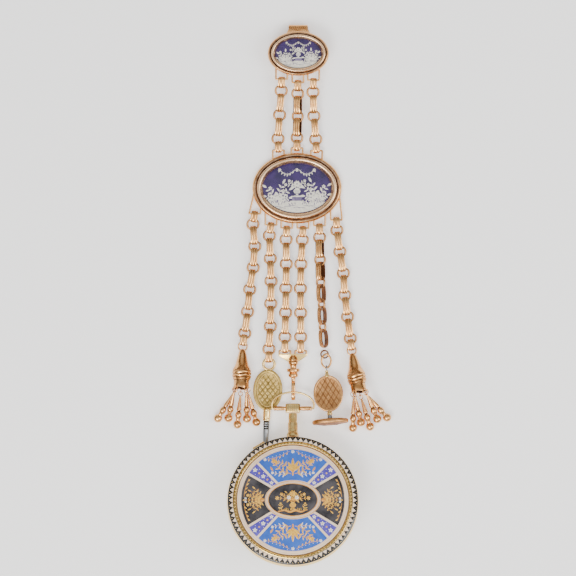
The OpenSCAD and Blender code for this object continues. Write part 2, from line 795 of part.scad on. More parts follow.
// Bow: an arch of wire whose ends turn in as pins of the cross bar
bow_top_z = 3.5;
pin_wire = 0.8;
bow_foot = 14;
function bow_pt(t) = [bow_w / 2 * cos(t), bow_h * (sin(t) + sin(bow_foot)) / (1 + sin(bow_foot))];
module watch_bow() {
    sides = 8;
    n = 26;
    arch = [for (i = [0:n]) let (t = -bow_foot + i * (180 + 2 * bow_foot) / n, p = bow_pt(t))
        [p[0], p[1], (bow_top_z - bar_z) * max(0, p[1]) / bow_h]];
    side = bar_l / 2;
    path = concat([[side - 1.7, 0, 0], [side + 0.1, 0, 0]], arch, [[-side - 0.1, 0, 0], [1.7 - side, 0, 0]]);
    m = len(path);
    rings = [for (i = [0:m - 1])
        let (d = path[min(m - 1, i + 1)] - path[max(0, i - 1)],
            q = [d[1], -d[0]] / norm([d[0], d[1]]),
            r = (i < 2 || i > m - 3 ? pin_wire : bow_wire) / 2)
        [for (j = [0:sides - 1]) let (a = j * 360 / sides)
            path[i] + [q[0] * cos(a) * r, q[1] * cos(a) * r, sin(a) * r]]];
    color("khaki")
    translate([bar_x, bar_y, bar_z])
        skin(rings);
}

module watch_pendant() {
    foot = case_d / 2 + 0.6;
    foot_l = 5.8;
    color("khaki")
    in_watch()
    difference() {
        union() {
            turned([0, foot, 0], [0, 1, 0])
                rotate_extrude()
                    polygon([
                        [0, 0], [stem_d / 2 + 0.8, 0], [stem_d / 2 + 0.6, 1.2], [stem_d / 2 + 0.25, 2.4],
                        [stem_d / 2 + 0.25, foot_l], [stem_d / 2, foot_l + 0.5],
                        [stem_d / 2, reach - foot], [0, reach - foot],
                    ]);
            translate([-pendant_w / 2, reach - bar_d * 0.9, -bar_d * 0.9])
                cube([pendant_w, bar_d * 1.8, bar_d * 1.8]);
            translate([-bar_l / 2, reach, 0])
                rotate([0, 90, 0])
                    cylinder(d = bar_d, h = bar_l);
        }
        for (x = [-bar_l / 2 - 1, bar_l / 2 - 2])
            translate([x, reach, 0])
                rotate([0, 90, 0])
                    cylinder(d = pin_wire + 0.2, h = 3);
    }
}

zig_in = case_d / 2 - zigzag_w;
bead_in = zig_in - beaded_w;
top_edge = band_t / 2 - 0.6;
// Depth of the dial's seat below the case's middle
dial_seat = 1.6;
dial_t = 0.8;
seat_wall = 0.4;
hinge_angle = 121;
hinge_d = 1.5;
hinge_l = 5.6;
module watch_case() {
    r = case_d / 2;
    seat_r = glass_d / 2 + seat_wall;
    color("goldenrod")
    in_watch()
    union() {
        rotate_extrude()
            polygon([
                [0, -dial_seat], [seat_r, -dial_seat], [seat_r, -band_t / 2], [r - 1, -band_t / 2],
                [r + 0.25, -band_t / 4], [r + 0.45, 0.2], [r + 0.25, 1.4], [r, top_edge], [0, top_edge],
            ]);
        rotate([0, 0, hinge_angle])
            translate([r + hinge_d / 3, hinge_l / 2, 0.2])
                rotate([90, 0, 0])
                    cylinder(d = hinge_d, h = hinge_l);
    }
}

module zigzag_ring() {
    r = case_d / 2;
    color("dimgray")
    in_watch()
    rotate_extrude()
        polygon([
            [zig_in + fit_gap / 2, top_edge + fit_gap], [r, top_edge + fit_gap], [r, band_t / 2 - 0.1],
            [r - 0.4, band_t / 2 + 0.3], [zig_in + fit_gap / 2, band_t / 2 + 0.7],
        ]);
}

module beaded_ring() {
    color("goldenrod")
    in_watch()
    rotate_extrude()
        polygon([
            [bead_in + fit_gap / 2, top_edge + fit_gap], [zig_in - fit_gap / 2, top_edge + fit_gap],
            [zig_in - fit_gap / 2, band_t / 2 + 0.6], [zig_in - 0.4, band_t / 2 + 1],
            [bead_in + 0.3, band_t / 2 + 0.9], [bead_in + fit_gap / 2, band_t / 2 + 0.6],
        ]);
}

// Domed panel of plain enamel
module enamel_panel() {
    r = bead_in - fit_gap / 2;
    color("antiquewhite")
    in_watch()
    rotate_extrude()
        polygon(concat(
            [[0, top_edge + fit_gap], [r, top_edge + fit_gap]],
            [for (i = [0:9]) [r * (9 - i) / 9, band_t / 2 + 0.5 + dome_h * (1 - pow((9 - i) / 9, 2))]]
        ));
}

module watch_glass() {
    r = glass_d / 2 - fit_gap;
    color("lightcyan", 0.4)
    in_watch()
    rotate_extrude()
        polygon(concat(
            [for (i = [0:14]) [r * i / 14, glass_z(glass_r, r * i / 14)]],
            [for (i = [14:-1:0]) [r * i / 14, glass_z(glass_r - glass_t, r * i / 14)]]
        ));
}

module glass_bezel() {
    r = case_d / 2;
    lip = glass_d / 2;
    top = -band_t / 2 - fit_gap;
    low = glass_z(glass_r, lip) - 0.4;
    color("goldenrod")
    in_watch()
    rotate_extrude()
        polygon([[lip, top], [r - 1.5, top], [r - 2.2, top - 0.6], [lip + 0.8, min(low, top - 0.9)],
            [lip, min(low, top - 0.9)]]);
}

module watch_dial() {
    color("white")
    in_watch()
    translate([0, 0, -dial_seat - fit_gap - dial_t])
        cylinder(r = glass_d / 2 - 0.3, h = dial_t);
}

main_plaque_frame();
main_miniature();
top_plaque_frame();
top_miniature();
belt_hook();
upper_chain_left();
upper_chain_middle();
upper_chain_right();
lower_chain_1();
lower_chain_2();
lower_chain_3();
lower_chain_4();
lower_chain_5();
lower_chain_6();
tassel_left_cap();
tassel_left_drops();
tassel_right_cap();
tassel_right_drops();
watch_key();
key_barrel();
seal_ring();
seal();
swivel_yoke();
swivel_hook();
watch_bow();
watch_pendant();
watch_case();
zigzag_ring();
beaded_ring();
enamel_panel();
glass_bezel();
watch_glass();
watch_dial();
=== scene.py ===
from math import acos, asin, atan2, cos, degrees, floor, hypot, pi, radians, sin, sqrt

import bmesh
import bpy
import numpy as np
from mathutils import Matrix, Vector


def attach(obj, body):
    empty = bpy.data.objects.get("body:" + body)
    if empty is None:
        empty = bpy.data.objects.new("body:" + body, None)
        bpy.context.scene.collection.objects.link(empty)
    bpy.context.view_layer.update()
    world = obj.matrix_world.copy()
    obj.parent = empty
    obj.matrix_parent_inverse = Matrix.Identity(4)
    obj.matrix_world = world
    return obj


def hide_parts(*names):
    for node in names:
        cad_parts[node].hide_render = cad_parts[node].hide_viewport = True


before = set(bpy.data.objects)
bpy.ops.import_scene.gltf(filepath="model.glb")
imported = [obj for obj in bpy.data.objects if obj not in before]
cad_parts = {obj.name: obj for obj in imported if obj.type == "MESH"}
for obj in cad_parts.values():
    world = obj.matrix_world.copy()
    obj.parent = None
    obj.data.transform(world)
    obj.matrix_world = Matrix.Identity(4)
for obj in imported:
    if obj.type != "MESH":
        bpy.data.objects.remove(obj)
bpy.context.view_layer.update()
MM = 0.001
X, Y, Z = np.eye(3)
# Thickness of an enamel slab, and the angle in degrees from which an edge stays sharp
SLAB_T, SHARP_FROM = 0.25, 38


# Materials
def srgb(r, g, b):
    def lin(c):
        c /= 255
        return c / 12.92 if c <= 0.04045 else ((c + 0.055) / 1.055) ** 2.4
    return (lin(r), lin(g), lin(b), 1)


def grey(v):
    return (v, v, v, 1)


def noise(nodes, links, scale, detail=4.0, stretch=(1, 1, 1)):
    coord = nodes.new("ShaderNodeTexCoord")
    mapping = nodes.new("ShaderNodeMapping")
    mapping.inputs["Scale"].default_value = stretch
    links.new(coord.outputs["Object"], mapping.inputs["Vector"])
    tex = nodes.new("ShaderNodeTexNoise")
    tex.inputs["Scale"].default_value = scale
    tex.inputs["Detail"].default_value = detail
    tex.inputs["Roughness"].default_value = 0.55
    links.new(mapping.outputs["Vector"], tex.inputs["Vector"])
    return tex.outputs["Fac"]


def ramp(nodes, links, fac, stops):
    node = nodes.new("ShaderNodeValToRGB")
    while len(node.color_ramp.elements) < len(stops):
        node.color_ramp.elements.new(0.5)
    for e, (pos, col) in zip(node.color_ramp.elements, stops):
        e.position = pos
        e.color = col
    links.new(fac, node.inputs["Fac"])
    return node.outputs["Color"]


def blank_material(name):
    mat = bpy.data.materials.new(name)
    mat.use_nodes = True
    nodes, links = mat.node_tree.nodes, mat.node_tree.links
    return mat, nodes, links, nodes["Principled BSDF"]


def material(name, light, dark, metal=1.0, rough=(0.16, 0.3), scale=420, bump=0.04, stretch=(1, 1, 1),
             coat=0.0, share=(0.35, 0.68)):
    """Two tones mixed by soft noise, with roughness and fine bump from their own noise."""
    mat, nodes, links, bsdf = blank_material(name)
    bsdf.inputs["Metallic"].default_value = metal
    bsdf.inputs["Coat Weight"].default_value = coat
    bsdf.inputs["Coat Roughness"].default_value = 0.08
    tone = noise(nodes, links, scale, stretch=stretch)
    tones = [(share[0], srgb(*dark)), (share[1], srgb(*light))]
    links.new(ramp(nodes, links, tone, tones), bsdf.inputs["Base Color"])
    wear = noise(nodes, links, scale * 2.3, detail=6, stretch=stretch)
    tones = [(0.3, grey(rough[0])), (0.7, grey(rough[1]))]
    links.new(ramp(nodes, links, wear, tones), bsdf.inputs["Roughness"])
    fine = noise(nodes, links, 1500, detail=3, stretch=stretch)
    node = nodes.new("ShaderNodeBump")
    node.inputs["Strength"].default_value = bump
    node.inputs["Distance"].default_value = 0.0002
    links.new(fine, node.inputs["Height"])
    links.new(node.outputs["Normal"], bsdf.inputs["Normal"])
    return mat


def glaze(name, light, dark, rough, metal=0, **more):
    return material(name, light, dark, metal, rough, **more)


ROSE = material("rose_gold_polished", (238, 186, 124), (210, 150, 90))
# Darker rose gold put in recesses, cuts, creases and the insides of loops: painted shade.
ROSE_SHADE = material("rose_gold_painted_shade", (136, 88, 54), (90, 54, 32), rough=(0.35, 0.5))
ROSE_SATIN = material("rose_gold_engraved", (218, 164, 108), (186, 132, 82), rough=(0.3, 0.45), bump=0.25)
# Darker, rougher rose gold for the moulding's groove: painted shade in the groove.
ROSE_GROOVE_SHADE = material("rose_gold_groove_painted_shade", (176, 146, 120), (132, 104, 82), rough=(0.5, 0.65), bump=0.3)
ROSE_BROWN = material("rose_gold_worn", (186, 128, 86), (150, 98, 62), rough=(0.35, 0.5), bump=0.3)
# Paler copy of the polished rose gold for the bezel round the panel: painted highlight.
ROSE_HIGHLIGHT = material("rose_gold_bezel_painted_highlight", (242, 206, 168), (224, 182, 140))
GOLD = material("yellow_gold_polished", (250, 220, 150), (236, 196, 118))
GOLD_SATIN = material("yellow_gold_satin", (196, 168, 100), (162, 134, 70), rough=(0.32, 0.46), bump=0.2)
# Darker yellow gold put in engraved lines, grooves and between beads and ribs: painted shade.
GOLD_SHADE = material("yellow_gold_painted_shade", (122, 90, 42), (80, 58, 26), rough=(0.4, 0.55))
STEEL = material("grey_steel", (176, 178, 180), (120, 122, 124), rough=(0.28, 0.5), bump=0.12,
                 stretch=(4, 0.6, 4))
# Near-black steel for the barrel's grooves and the square hole at its end: painted shade.
STEEL_SHADE = material("steel_painted_shade", (52, 50, 48), (28, 27, 26), rough=(0.35, 0.5))
BLUED = material("blued_steel", (60, 70, 130), (34, 40, 88), rough=(0.15, 0.3))
PURPLE = glaze("purple_enamel", (54, 33, 92), (33, 21, 66), (0.22, 0.34), scale=260, bump=0.02)
PALE = glaze("grisaille_enamel", (232, 228, 212), (206, 204, 192), (0.2, 0.3), scale=900, bump=0.03)
MIST = glaze("grisaille_shade", (132, 122, 150), (92, 80, 118), (0.2, 0.3), scale=900, bump=0.03)
CREAM = glaze("cream_enamel", (248, 228, 202), (238, 210, 180), (0.12, 0.22), scale=300, bump=0.02, coat=0.4)
PINK = glaze("pink_line_enamel", (226, 186, 160), (210, 164, 138), (0.15, 0.25), coat=0.3)
BLUE = glaze("blue_enamel", (58, 108, 200), (44, 90, 184), (0.12, 0.22), scale=260, bump=0.02, coat=0.2)
VIOLET = glaze("violet_enamel", (96, 86, 188), (74, 64, 162), (0.12, 0.22), scale=500, bump=0.02, coat=0.2)
DUSK = glaze("dark_grey_enamel", (80, 77, 80), (30, 29, 33), (0.1, 0.2), scale=150, bump=0.02, coat=0.2,
             share=(0.38, 0.66))
BLACK = glaze("black_enamel", (24, 20, 18), (10, 8, 8), (0.08, 0.14), bump=0.02, coat=0.5)
LEAF = glaze("leaf_gold_enamel", (248, 208, 96), (226, 160, 52), (0.2, 0.35), 0.25, scale=1500, bump=0.1)
AMBER = glaze("amber_enamel", (236, 176, 84), (206, 132, 44), (0.2, 0.3), scale=1500)
OLIVE = glaze("olive_gold_enamel", (190, 160, 70), (150, 118, 44), (0.2, 0.35), 0.1, scale=1500, bump=0.1)
WHITE = glaze("white_enamel", (246, 244, 240), (232, 230, 226), (0.1, 0.2), coat=0.4)


def glass_material():
    mat, nodes, links, bsdf = blank_material("watch_glass_clear")
    bsdf.inputs["Base Color"].default_value = srgb(240, 248, 248)
    bsdf.inputs["Transmission Weight"].default_value = 1.0
    bsdf.inputs["IOR"].default_value = 1.45
    haze = noise(nodes, links, 300)
    links.new(ramp(nodes, links, haze, [(0.3, grey(0.01)), (0.7, grey(0.05))]), bsdf.inputs["Roughness"])
    return mat


GLASS = glass_material()


# Frames, curves and meshes, all in millimetres
def unit(v):
    return v / np.linalg.norm(v)


def heading(path, i):
    """Direction of a path at its point i."""
    return unit(np.subtract(path[min(len(path) - 1, i + 1)], path[max(0, i - 1)]))


def turn(axis, angle):
    """Rotation matrix about a coordinate axis."""
    c, s = polar(1, angle)
    i, j = (axis + 1) % 3, (axis + 2) % 3
    m = np.eye(3)
    m[i, i], m[i, j], m[j, i], m[j, j] = c, -s, s, c
    return m


def place(points, p, frame_):
    """Points of a local frame, whose axes are the matrix's columns, at p."""
    return np.asarray(points, float) @ np.asarray(frame_).T + np.asarray(p, float)


def along(d, roll=0):
    """Frame whose second axis runs along d, rolled about it, as in the solids."""
    az = degrees(atan2(-d[0], d[1]))
    el = degrees(atan2(d[2], hypot(d[0], d[1])))
    return turn(2, az) @ turn(0, el) @ turn(1, roll)


def axial(d):
    """Frame whose third axis runs along d."""
    return along(d) @ turn(0, -90)


def spow(v, e):
    return np.sign(v) * np.abs(v) ** e


def polar(r, a):
    return r * cos(radians(a)), r * sin(radians(a))


def angles(n, offset=0.0):
    """n equal steps of a full turn in radians, from offset steps on."""
    return (np.arange(n) + offset) * 2 * pi / n


def smooth_rows(rows, k=3):
    """Curve through rows, with k steps between two of them."""
    rows = np.asarray(rows, float)
    p = np.vstack([rows[0], rows, rows[-1]])
    out = []
    for a, b, c, d in zip(p, p[1:], p[2:], p[3:]):
        for t in np.arange(k) / k:
            out.append(tuple(0.5 * (2 * b + (c - a) * t + (2 * a - 5 * b + 4 * c - d) * t * t
                                    + (3 * b - a - 3 * c + d) * t ** 3)))
    return out + [tuple(rows[-1])]


def offset(s, r, *rows):
    """Rows measured from a place s, r."""
    return [(s + a, r + b) for a, b in rows]


class Solid:
    """Vertices and faces that grow piece by piece; each face keeps the number of its material."""
    def __init__(self, *materials):
        self.materials = materials
        self.points, self.faces, self.marks, self.count = [], [], [], 0

    def add(self, points, faces, mark=0):
        points = np.asarray(points, float).reshape(-1, 3)
        self.points.append(points)
        self.faces += [tuple(i + self.count for i in f) for f in faces]
        self.marks += [mark] * len(faces)
        self.count += len(points)

    def skin(self, rings, closed=False, mark=0, marks=None):
        """Sheet through rings of points, capped unless closed joins the last ring to the first."""
        rings = np.asarray(rings, float)
        n, m = rings.shape[:2]
        faces = []
        for i in range(n if closed else n - 1):
            for j in range(m):
                a, b, k = i * m, (i + 1) % n * m, (j + 1) % m
                faces.append((a + j, a + k, b + k, b + j))
        start = len(self.marks)
        if not closed:
            faces += [tuple(range(m))[::-1], tuple((n - 1) * m + j for j in range(m))]
        self.add(rings.reshape(-1, 3), faces, mark)
        if marks is not None:
            for q in range(len(self.marks) - start):
                self.marks[start + q] = marks(q // m, q % m)

    def lathe(self, p, frame_, profile, n=32, mark=0, wave=lambda i, a: (0, 0), closed=False, marks=None):
        """Turned shape: profile rows are distance along the frame's third axis and radius.

        wave adds to the radius and to the distance of row i at the angles a.
        """
        a = angles(n)
        rings = []
        for i, (s, r) in enumerate(profile):
            out, up = wave(i, a)
            r = np.full(n, max(r, 0.002)) + out
            rings.append(place(np.stack([r * np.cos(a), r * np.sin(a), np.full(n, s) + up], 1), p, frame_))
        self.skin(rings, closed=closed, mark=mark, marks=marks)

    def tube(self, path, r, sides=10, closed=False, up=None, mark=0, flat=1.0):
        """Wire along a path; r is one radius or one for each point; up fixes the section's second axis."""
        path = np.asarray(path, float)
        n = len(path)
        r = np.broadcast_to(r, (n,))
        a = angles(sides)
        rings = []
        side = None
        for i in range(n):
            prev = path[i - 1] if (closed or i) else path[0]
            nxt = path[(i + 1) % n] if (closed or i < n - 1) else path[-1]
            d = unit(nxt - prev)
            if up is not None:
                side = unit(np.cross(d, up))
            elif side is None:
                side = unit(np.cross(d, Z if abs(d[2]) < 0.9 else X))
            else:
                side = unit(side - (side @ d) * d)
            over = np.cross(side, d)
            rings.append(path[i] + r[i] * (np.outer(np.cos(a), side) + flat * np.outer(np.sin(a), over)))
        self.skin(rings, closed=closed, mark=mark)

    def bead(self, p, r, n, m):
        """Half ball with n sides and m rows."""
        rows = [(r * cos(t), r * sin(t)) for t in np.linspace(0.05, pi / 2, m)]
        self.lathe(p, np.eye(3), rows, n)

    def on(self, at, frame_, height):
        """Chooses the surface for relief; its height is a number or a function of x and y."""
        self.at, self.frame = at, frame_
        self.height = height if callable(height) else lambda x, y: height

    def relief(self, rows, mark):
        """Closed strip through rows of x, y and lift above the chosen surface."""
        self.skin([place([(x, y, self.height(x, y) + lift) for x, y, lift in row], self.at, self.frame)
                   for row in rows], mark=mark)

    def lattice(self, w, h, inset, pitch, slants, r, mark, twin=0.0):
        """Engraved lines across an oval, each clipped to it; twin doubles them at that half distance."""
        a, b = w / 2 - inset, h / 2 - inset
        for ang in slants:
            c, s = cos(radians(ang)), sin(radians(ang))
            reach = hypot(a * s, b * c)
            for k in np.arange(-floor(reach / pitch), reach / pitch):
                for off in ((-twin, twin) if twin else (0,)):
                    q = k * pitch + off
                    if abs(q) > reach * 0.96:
                        continue
                    px, py = -s * q, c * q
                    aa = (c / a) ** 2 + (s / b) ** 2
                    bb = 2 * (px * c / a ** 2 + py * s / b ** 2)
                    cc = (px / a) ** 2 + (py / b) ** 2 - 1
                    root = sqrt(max(0, bb * bb - 4 * aa * cc))
                    ends = (-bb - root) / (2 * aa), (-bb + root) / (2 * aa)
                    line = [(px + c * t, py + s * t, self.height(0, 0)) for t in np.linspace(*ends, 5)]
                    self.tube(place(line, self.at, self.frame), r, 5, mark=mark, flat=0.6)

    def leaf(self, p, ang, length, width, mark=0, bend=0.0, lift=0.1):
        """Low pointed leaf that starts at p and turns by bend on its way."""
        rows = []
        for t in np.linspace(0, 1, 7):
            w = width / 2 * sin(pi * min(1, t * 0.93 + 0.04)) ** 0.8
            a = radians(ang + bend * t)
            b = radians(ang + bend * t / 2)
            cx, cy = p[0] + length * t * cos(b), p[1] + length * t * sin(b)
            nx, ny = -sin(a), cos(a)
            section = (-1, 0.2), (-0.5, 0.8), (0, 1), (0.5, 0.8), (1, 0.2), (0, -0.6)
            rows.append([(cx + nx * w * u, cy + ny * w * u, lift * k) for u, k in section])
        self.relief(rows, mark)

    def stroke(self, pts, w, mark=0, lift=0.08):
        """Ribbon along points; w is its width or one for each point."""
        pts = np.asarray(pts, float)
        w = np.broadcast_to(w, (len(pts),))
        rows = []
        for i, p in enumerate(pts):
            d = heading(pts, i)
            n = np.array([-d[1], d[0]])
            section = (-1, 0), (-0.55, 0.85), (0.55, 0.85), (1, 0), (0, -0.6)
            rows.append([(*(p + n * w[i] / 2 * u), lift * k) for u, k in section])
        self.relief(rows, mark)

    def dot(self, p, r, mark=0, lift=0.12, n=10):
        """Low dome."""
        a = angles(n)
        self.relief([[(x, y, lift * k) for x, y in zip(p[0] + r * q * np.cos(a), p[1] + r * q * np.sin(a))]
                     for q, k in ((1, -0.5), (1, 0.2), (0.8, 0.75), (0.35, 1))], mark)

    def flower(self, p, r, marks=(0, 1), petals=6, lift=0.1):
        for k in range(petals):
            self.leaf(p, 360 * k / petals + 15, r, r * 0.62, marks[0], 0, lift)
        self.dot(p, r * 0.26, marks[1], lift * 1.8, 8)

    def slab(self, grid, lift, mark):
        """Thin closed slab whose top follows the surface: grid holds rows of x and y."""
        grid = np.asarray(grid, float)
        n, m = grid.shape[:2]
        top = [(x, y, self.height(x, y) + lift) for row in grid for x, y in row]
        low = [(x, y, h - SLAB_T) for x, y, h in top]
        faces = []
        for i in range(n - 1):
            for j in range(m - 1):
                q = (i * m + j, i * m + j + 1, (i + 1) * m + j + 1, (i + 1) * m + j)
                faces += [q, tuple(n * m + k for k in q[::-1])]
        rim = list(range(m)) + [i * m + m - 1 for i in range(1, n)]
        rim += [(n - 1) * m + j for j in range(m - 2, -1, -1)] + [i * m for i in range(n - 2, 0, -1)]
        faces += [(a, b, n * m + b, n * m + a) for a, b in zip(rim, rim[1:] + rim[:1])]
        self.add(place(top + low, self.at, self.frame), faces, mark)

    def sprig(self, p, ang, length, curl, pairs, marks, size=1.0, bloom=0.0):
        """Curved stem with pairs of leaves that shrink towards its tip, where bloom sets a flower."""
        steps = 3 * pairs + 2
        pts, x, y = [], p[0], p[1]
        for i in range(steps + 1):
            pts.append((x, y))
            a = radians(ang + curl * i / steps)
            x, y = x + length / steps * cos(a), y + length / steps * sin(a)
        self.stroke(pts, np.linspace(0.34, 0.16, len(pts)) * size, marks[1], 0.09)
        for k in range(pairs):
            i = 2 + 3 * k
            a = ang + curl * i / steps
            shrink = size * (1 - 0.45 * k / max(1, pairs))
            for side in (-1, 1):
                self.leaf(pts[i], a + side * 42, 1.9 * shrink, 0.72 * shrink, marks[0], side * 30, 0.11)
        if bloom:
            self.flower(pts[-1], bloom, marks, 6, 0.12)
        else:
            self.leaf(pts[-1], ang + curl, 1.7 * size, 0.7 * size, marks[0], curl * 0.3, 0.11)

    def vase(self, p, size, marks):
        """Footed vase with a rim, bands and ribs."""
        def across(s, r, shares):
            return [(p[0] + size * r * u, p[1] + size * s) for u in shares]

        rows = smooth_rows([(0, 0.62), (0.12, 0.66), (0.2, 0.3), (0.42, 0.2), (0.55, 0.42), (0.85, 0.7),
                            (1.15, 0.8), (1.4, 0.66), (1.6, 0.42), (1.75, 0.36), (1.85, 0.56), (1.95, 0.6)])
        shares = np.linspace(-1, 1, 9)
        self.slab([across(s, r, shares) for s, r in rows], 0.1, marks[0])
        for s, r in ((0.1, 0.6), (0.55, 0.4), (1.15, 0.78), (1.9, 0.56)):
            self.stroke(across(s, r, shares), 0.14 * size, marks[1], 0.16)
        for u in (-0.5, 0, 0.5):
            rib = [across(s, r, (u,))[0] for s, r in ((0.6, 0.45), (0.85, 0.68), (1.1, 0.76))]
            self.stroke(rib, 0.1 * size, marks[1], 0.15)

    def build(self, name, node, body="chatelaine"):
        """Makes the piece, which rides on its body and stands for a node of the solids."""
        mesh = bpy.data.meshes.new(name)
        mesh.from_pydata((np.concatenate(self.points) * MM).tolist(), [], self.faces)
        for mat in self.materials:
            mesh.materials.append(mat)
        mesh.polygons.foreach_set("material_index", np.array(self.marks, np.int32))
        bm = bmesh.new()
        bm.from_mesh(mesh)
        bmesh.ops.recalc_face_normals(bm, faces=bm.faces)
        bm.to_mesh(mesh)
        bm.free()
        mesh.polygons.foreach_set("use_smooth", np.ones(len(mesh.polygons), bool))
        mesh.set_sharp_from_angle(angle=radians(SHARP_FROM))
        mesh.update()
        obj = bpy.data.objects.new(name, mesh)
        bpy.context.scene.collection.objects.link(obj)
        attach(obj, body)
        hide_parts(node)


# Camera, floor and light
CENTRE_X, CENTRE_Y = -3.87, -43.04
CAMERA_Z = 1802
FLOOR_HALF = 3.0
AIM = (0, -0.04, 0)


def camera():
    """Far above with a long lens, as the photograph looks straight down."""
    obj = bpy.data.objects.new("camera", bpy.data.cameras.new("camera"))
    obj.data.lens = 261.0
    obj.data.sensor_width = 36
    obj.data.clip_start, obj.data.clip_end = 0.1, 10
    obj.location = (CENTRE_X * MM, CENTRE_Y * MM, CAMERA_Z * MM)
    bpy.context.scene.collection.objects.link(obj)
    bpy.context.scene.camera = obj


def backdrop():
    """Pale floor with a faint glow of its own, so that it comes out white."""
    mat, _, _, bsdf = blank_material("floor_pale")
    bsdf.inputs["Base Color"].default_value = grey(0.93)
    bsdf.inputs["Roughness"].default_value = 0.9
    bsdf.inputs["Specular IOR Level"].default_value = 0.1
    bsdf.inputs["Emission Color"].default_value = grey(1.0)
    bsdf.inputs["Emission Strength"].default_value = 0.5
    mesh = bpy.data.meshes.new("floor")
    corners = [(FLOOR_HALF * x, FLOOR_HALF * y, 0) for x, y in ((-1, -1), (1, -1), (1, 1), (-1, 1))]
    mesh.from_pydata(corners, [], [(0, 1, 2, 3)])
    mesh.materials.append(mat)
    obj = bpy.data.objects.new("floor", mesh)
    bpy.context.scene.collection.objects.link(obj)


def area_light(name, at, size, power, colour=(1, 1, 1)):
    light = bpy.data.lights.new(name, "AREA")
    light.shape = "RECTANGLE"
    light.size, light.size_y = size
    light.energy = power
    light.color = colour
    obj = bpy.data.objects.new(name, light)
    obj.location = at
    obj.rotation_mode = "QUATERNION"
    obj.rotation_quaternion = (Vector(AIM) - Vector(at)).to_track_quat("-Z", "Y")
    bpy.context.scene.collection.objects.link(obj)


def sky():
    """Brown near the floor and white above, dimmer over the middle, for the metal to reflect."""
    world = bpy.data.worlds.new("studio")
    world.use_nodes = True
    nodes, links = world.node_tree.nodes, world.node_tree.links
    coord = nodes.new("ShaderNodeTexCoord")
    split = nodes.new("ShaderNodeSeparateXYZ")
    links.new(coord.outputs["Generated"], split.inputs["Vector"])
    brown, tan = (0.10, 0.07, 0.05, 1), (0.24, 0.19, 0.15, 1)
    upwards = (0.0, brown), (0.38, tan), (0.66, grey(0.85)), (1.0, grey(1.0))
    ahead = (0.12, grey(1.0)), (0.3, grey(0.42)), (0.6, grey(0.42)), (0.85, grey(1.0))
    height = ramp(nodes, links, split.outputs["Z"], upwards)
    front = ramp(nodes, links, split.outputs["Y"], ahead)
    both = nodes.new("ShaderNodeMixRGB")
    both.blend_type = "MULTIPLY"
    both.inputs["Fac"].default_value = 1.0
    links.new(height, both.inputs["Color1"])
    links.new(front, both.inputs["Color2"])
    links.new(both.outputs["Color"], nodes["Background"].inputs["Color"])
    nodes["Background"].inputs["Strength"].default_value = 1.5
    bpy.context.scene.world = world


camera()
backdrop()
sky()
area_light("key", (-0.35, -0.75, 1.0), (0.7, 0.5), 12.0, (1.0, 0.98, 0.95))
area_light("fill", (0.8, -0.2, 0.7), (0.5, 0.7), 5.5)


# Chains
LINK = dict(length=8.35, wide=3.3, waist=2.9, thick=3.5)
SHORT = dict(length=5.2, wide=3.0, waist=3.0, thick=2.9)
STRAP = 0.42
TIP = 2.3
RING_R, RING_WIRE, RING_SWELL = 2.4, 0.7, 0.15
STIRRUP_W, STIRRUP_WIRE = 5.7, 0.8
PLAY = 0.2
LOOP_FILL = 0.985


def strap_loop(solid, p, frame_, length, wide, waist, thick, ribs):
    """Strap bent into a loop, ribbed on its outer side and narrower where it passes through a ring."""
    cross = 6 * ribs + 1
    u = np.linspace(-1, 1, cross)
    flute = 0.17 * (1 - np.abs(np.cos(ribs * pi * u / 2)) ** 0.8)
    flute[[0, -1]] = 0.12
    rings = []
    for a in angles(44, 0.5):
        ca, sa = cos(a), sin(a)
        y, z = spow(ca, 0.8), spow(sa, 0.8)
        d = unit(np.array([spow(ca, 1.2) / length, spow(sa, 1.2) / thick]))
        near = min(1, max(0, (abs(y) - 0.78) / 0.16))
        w = (1 - near) * (waist + (wide - waist) * y * y) / 2 + near * TIP / 2
        base = np.array([y * length / 2, z * thick / 2])
        outer = [[w * uu, base[0] - d[0] * f, base[1] - d[1] * f] for uu, f in zip(u, flute)]
        inner = base - STRAP * 0.96 * d
        rings.append(outer + [[w * uu, inner[0], inner[1]] for uu in (0.96, 0.32, -0.32, -0.96)])
    # The loop's inner face takes the darker rose gold: painted shade inside the loop.
    solid.skin([place(r, p, frame_) for r in rings], closed=True, marks=lambda i, j: 1 if j >= cross else 0)


def wire_ring(solid, p, frame_, r, wire, n=36, sides=12, mark=0, swell=0.0):
    """Ring of round wire; swell thickens the two sides that no strap passes over."""
    a = angles(n)
    path = place(np.stack([r * np.cos(a), r * np.sin(a), 0 * a], 1), p, frame_)
    grow = np.clip((np.abs(np.cos(a)) - 0.62) / 0.26, 0, 1)
    radii = wire / 2 + swell * grow * grow * (3 - 2 * grow)
    solid.tube(path, radii, sides, closed=True, up=np.asarray(frame_)[:, 2], mark=mark)


def short_link(solid, bar, row):
    """Link from a stirrup's or a tassel ring's bar to the chain ring of a row."""
    bar, ring = np.asarray(bar, float), np.asarray(row[:3], float)
    d = bar - ring
    u = unit(d)
    near = sqrt((RING_R - RING_WIRE / 2) ** 2 - (TIP / 2) ** 2) - PLAY - STRAP
    far = np.linalg.norm(d) + STIRRUP_WIRE / 2 + PLAY + STRAP
    size = dict(SHORT, length=max(SHORT["length"], (far - near) / LOOP_FILL))
    course = along(-u if d[1] > 0 else u, row[3] / 4)
    strap_loop(solid, ring + u * (near + far) / 2, course, ribs=2, **size)


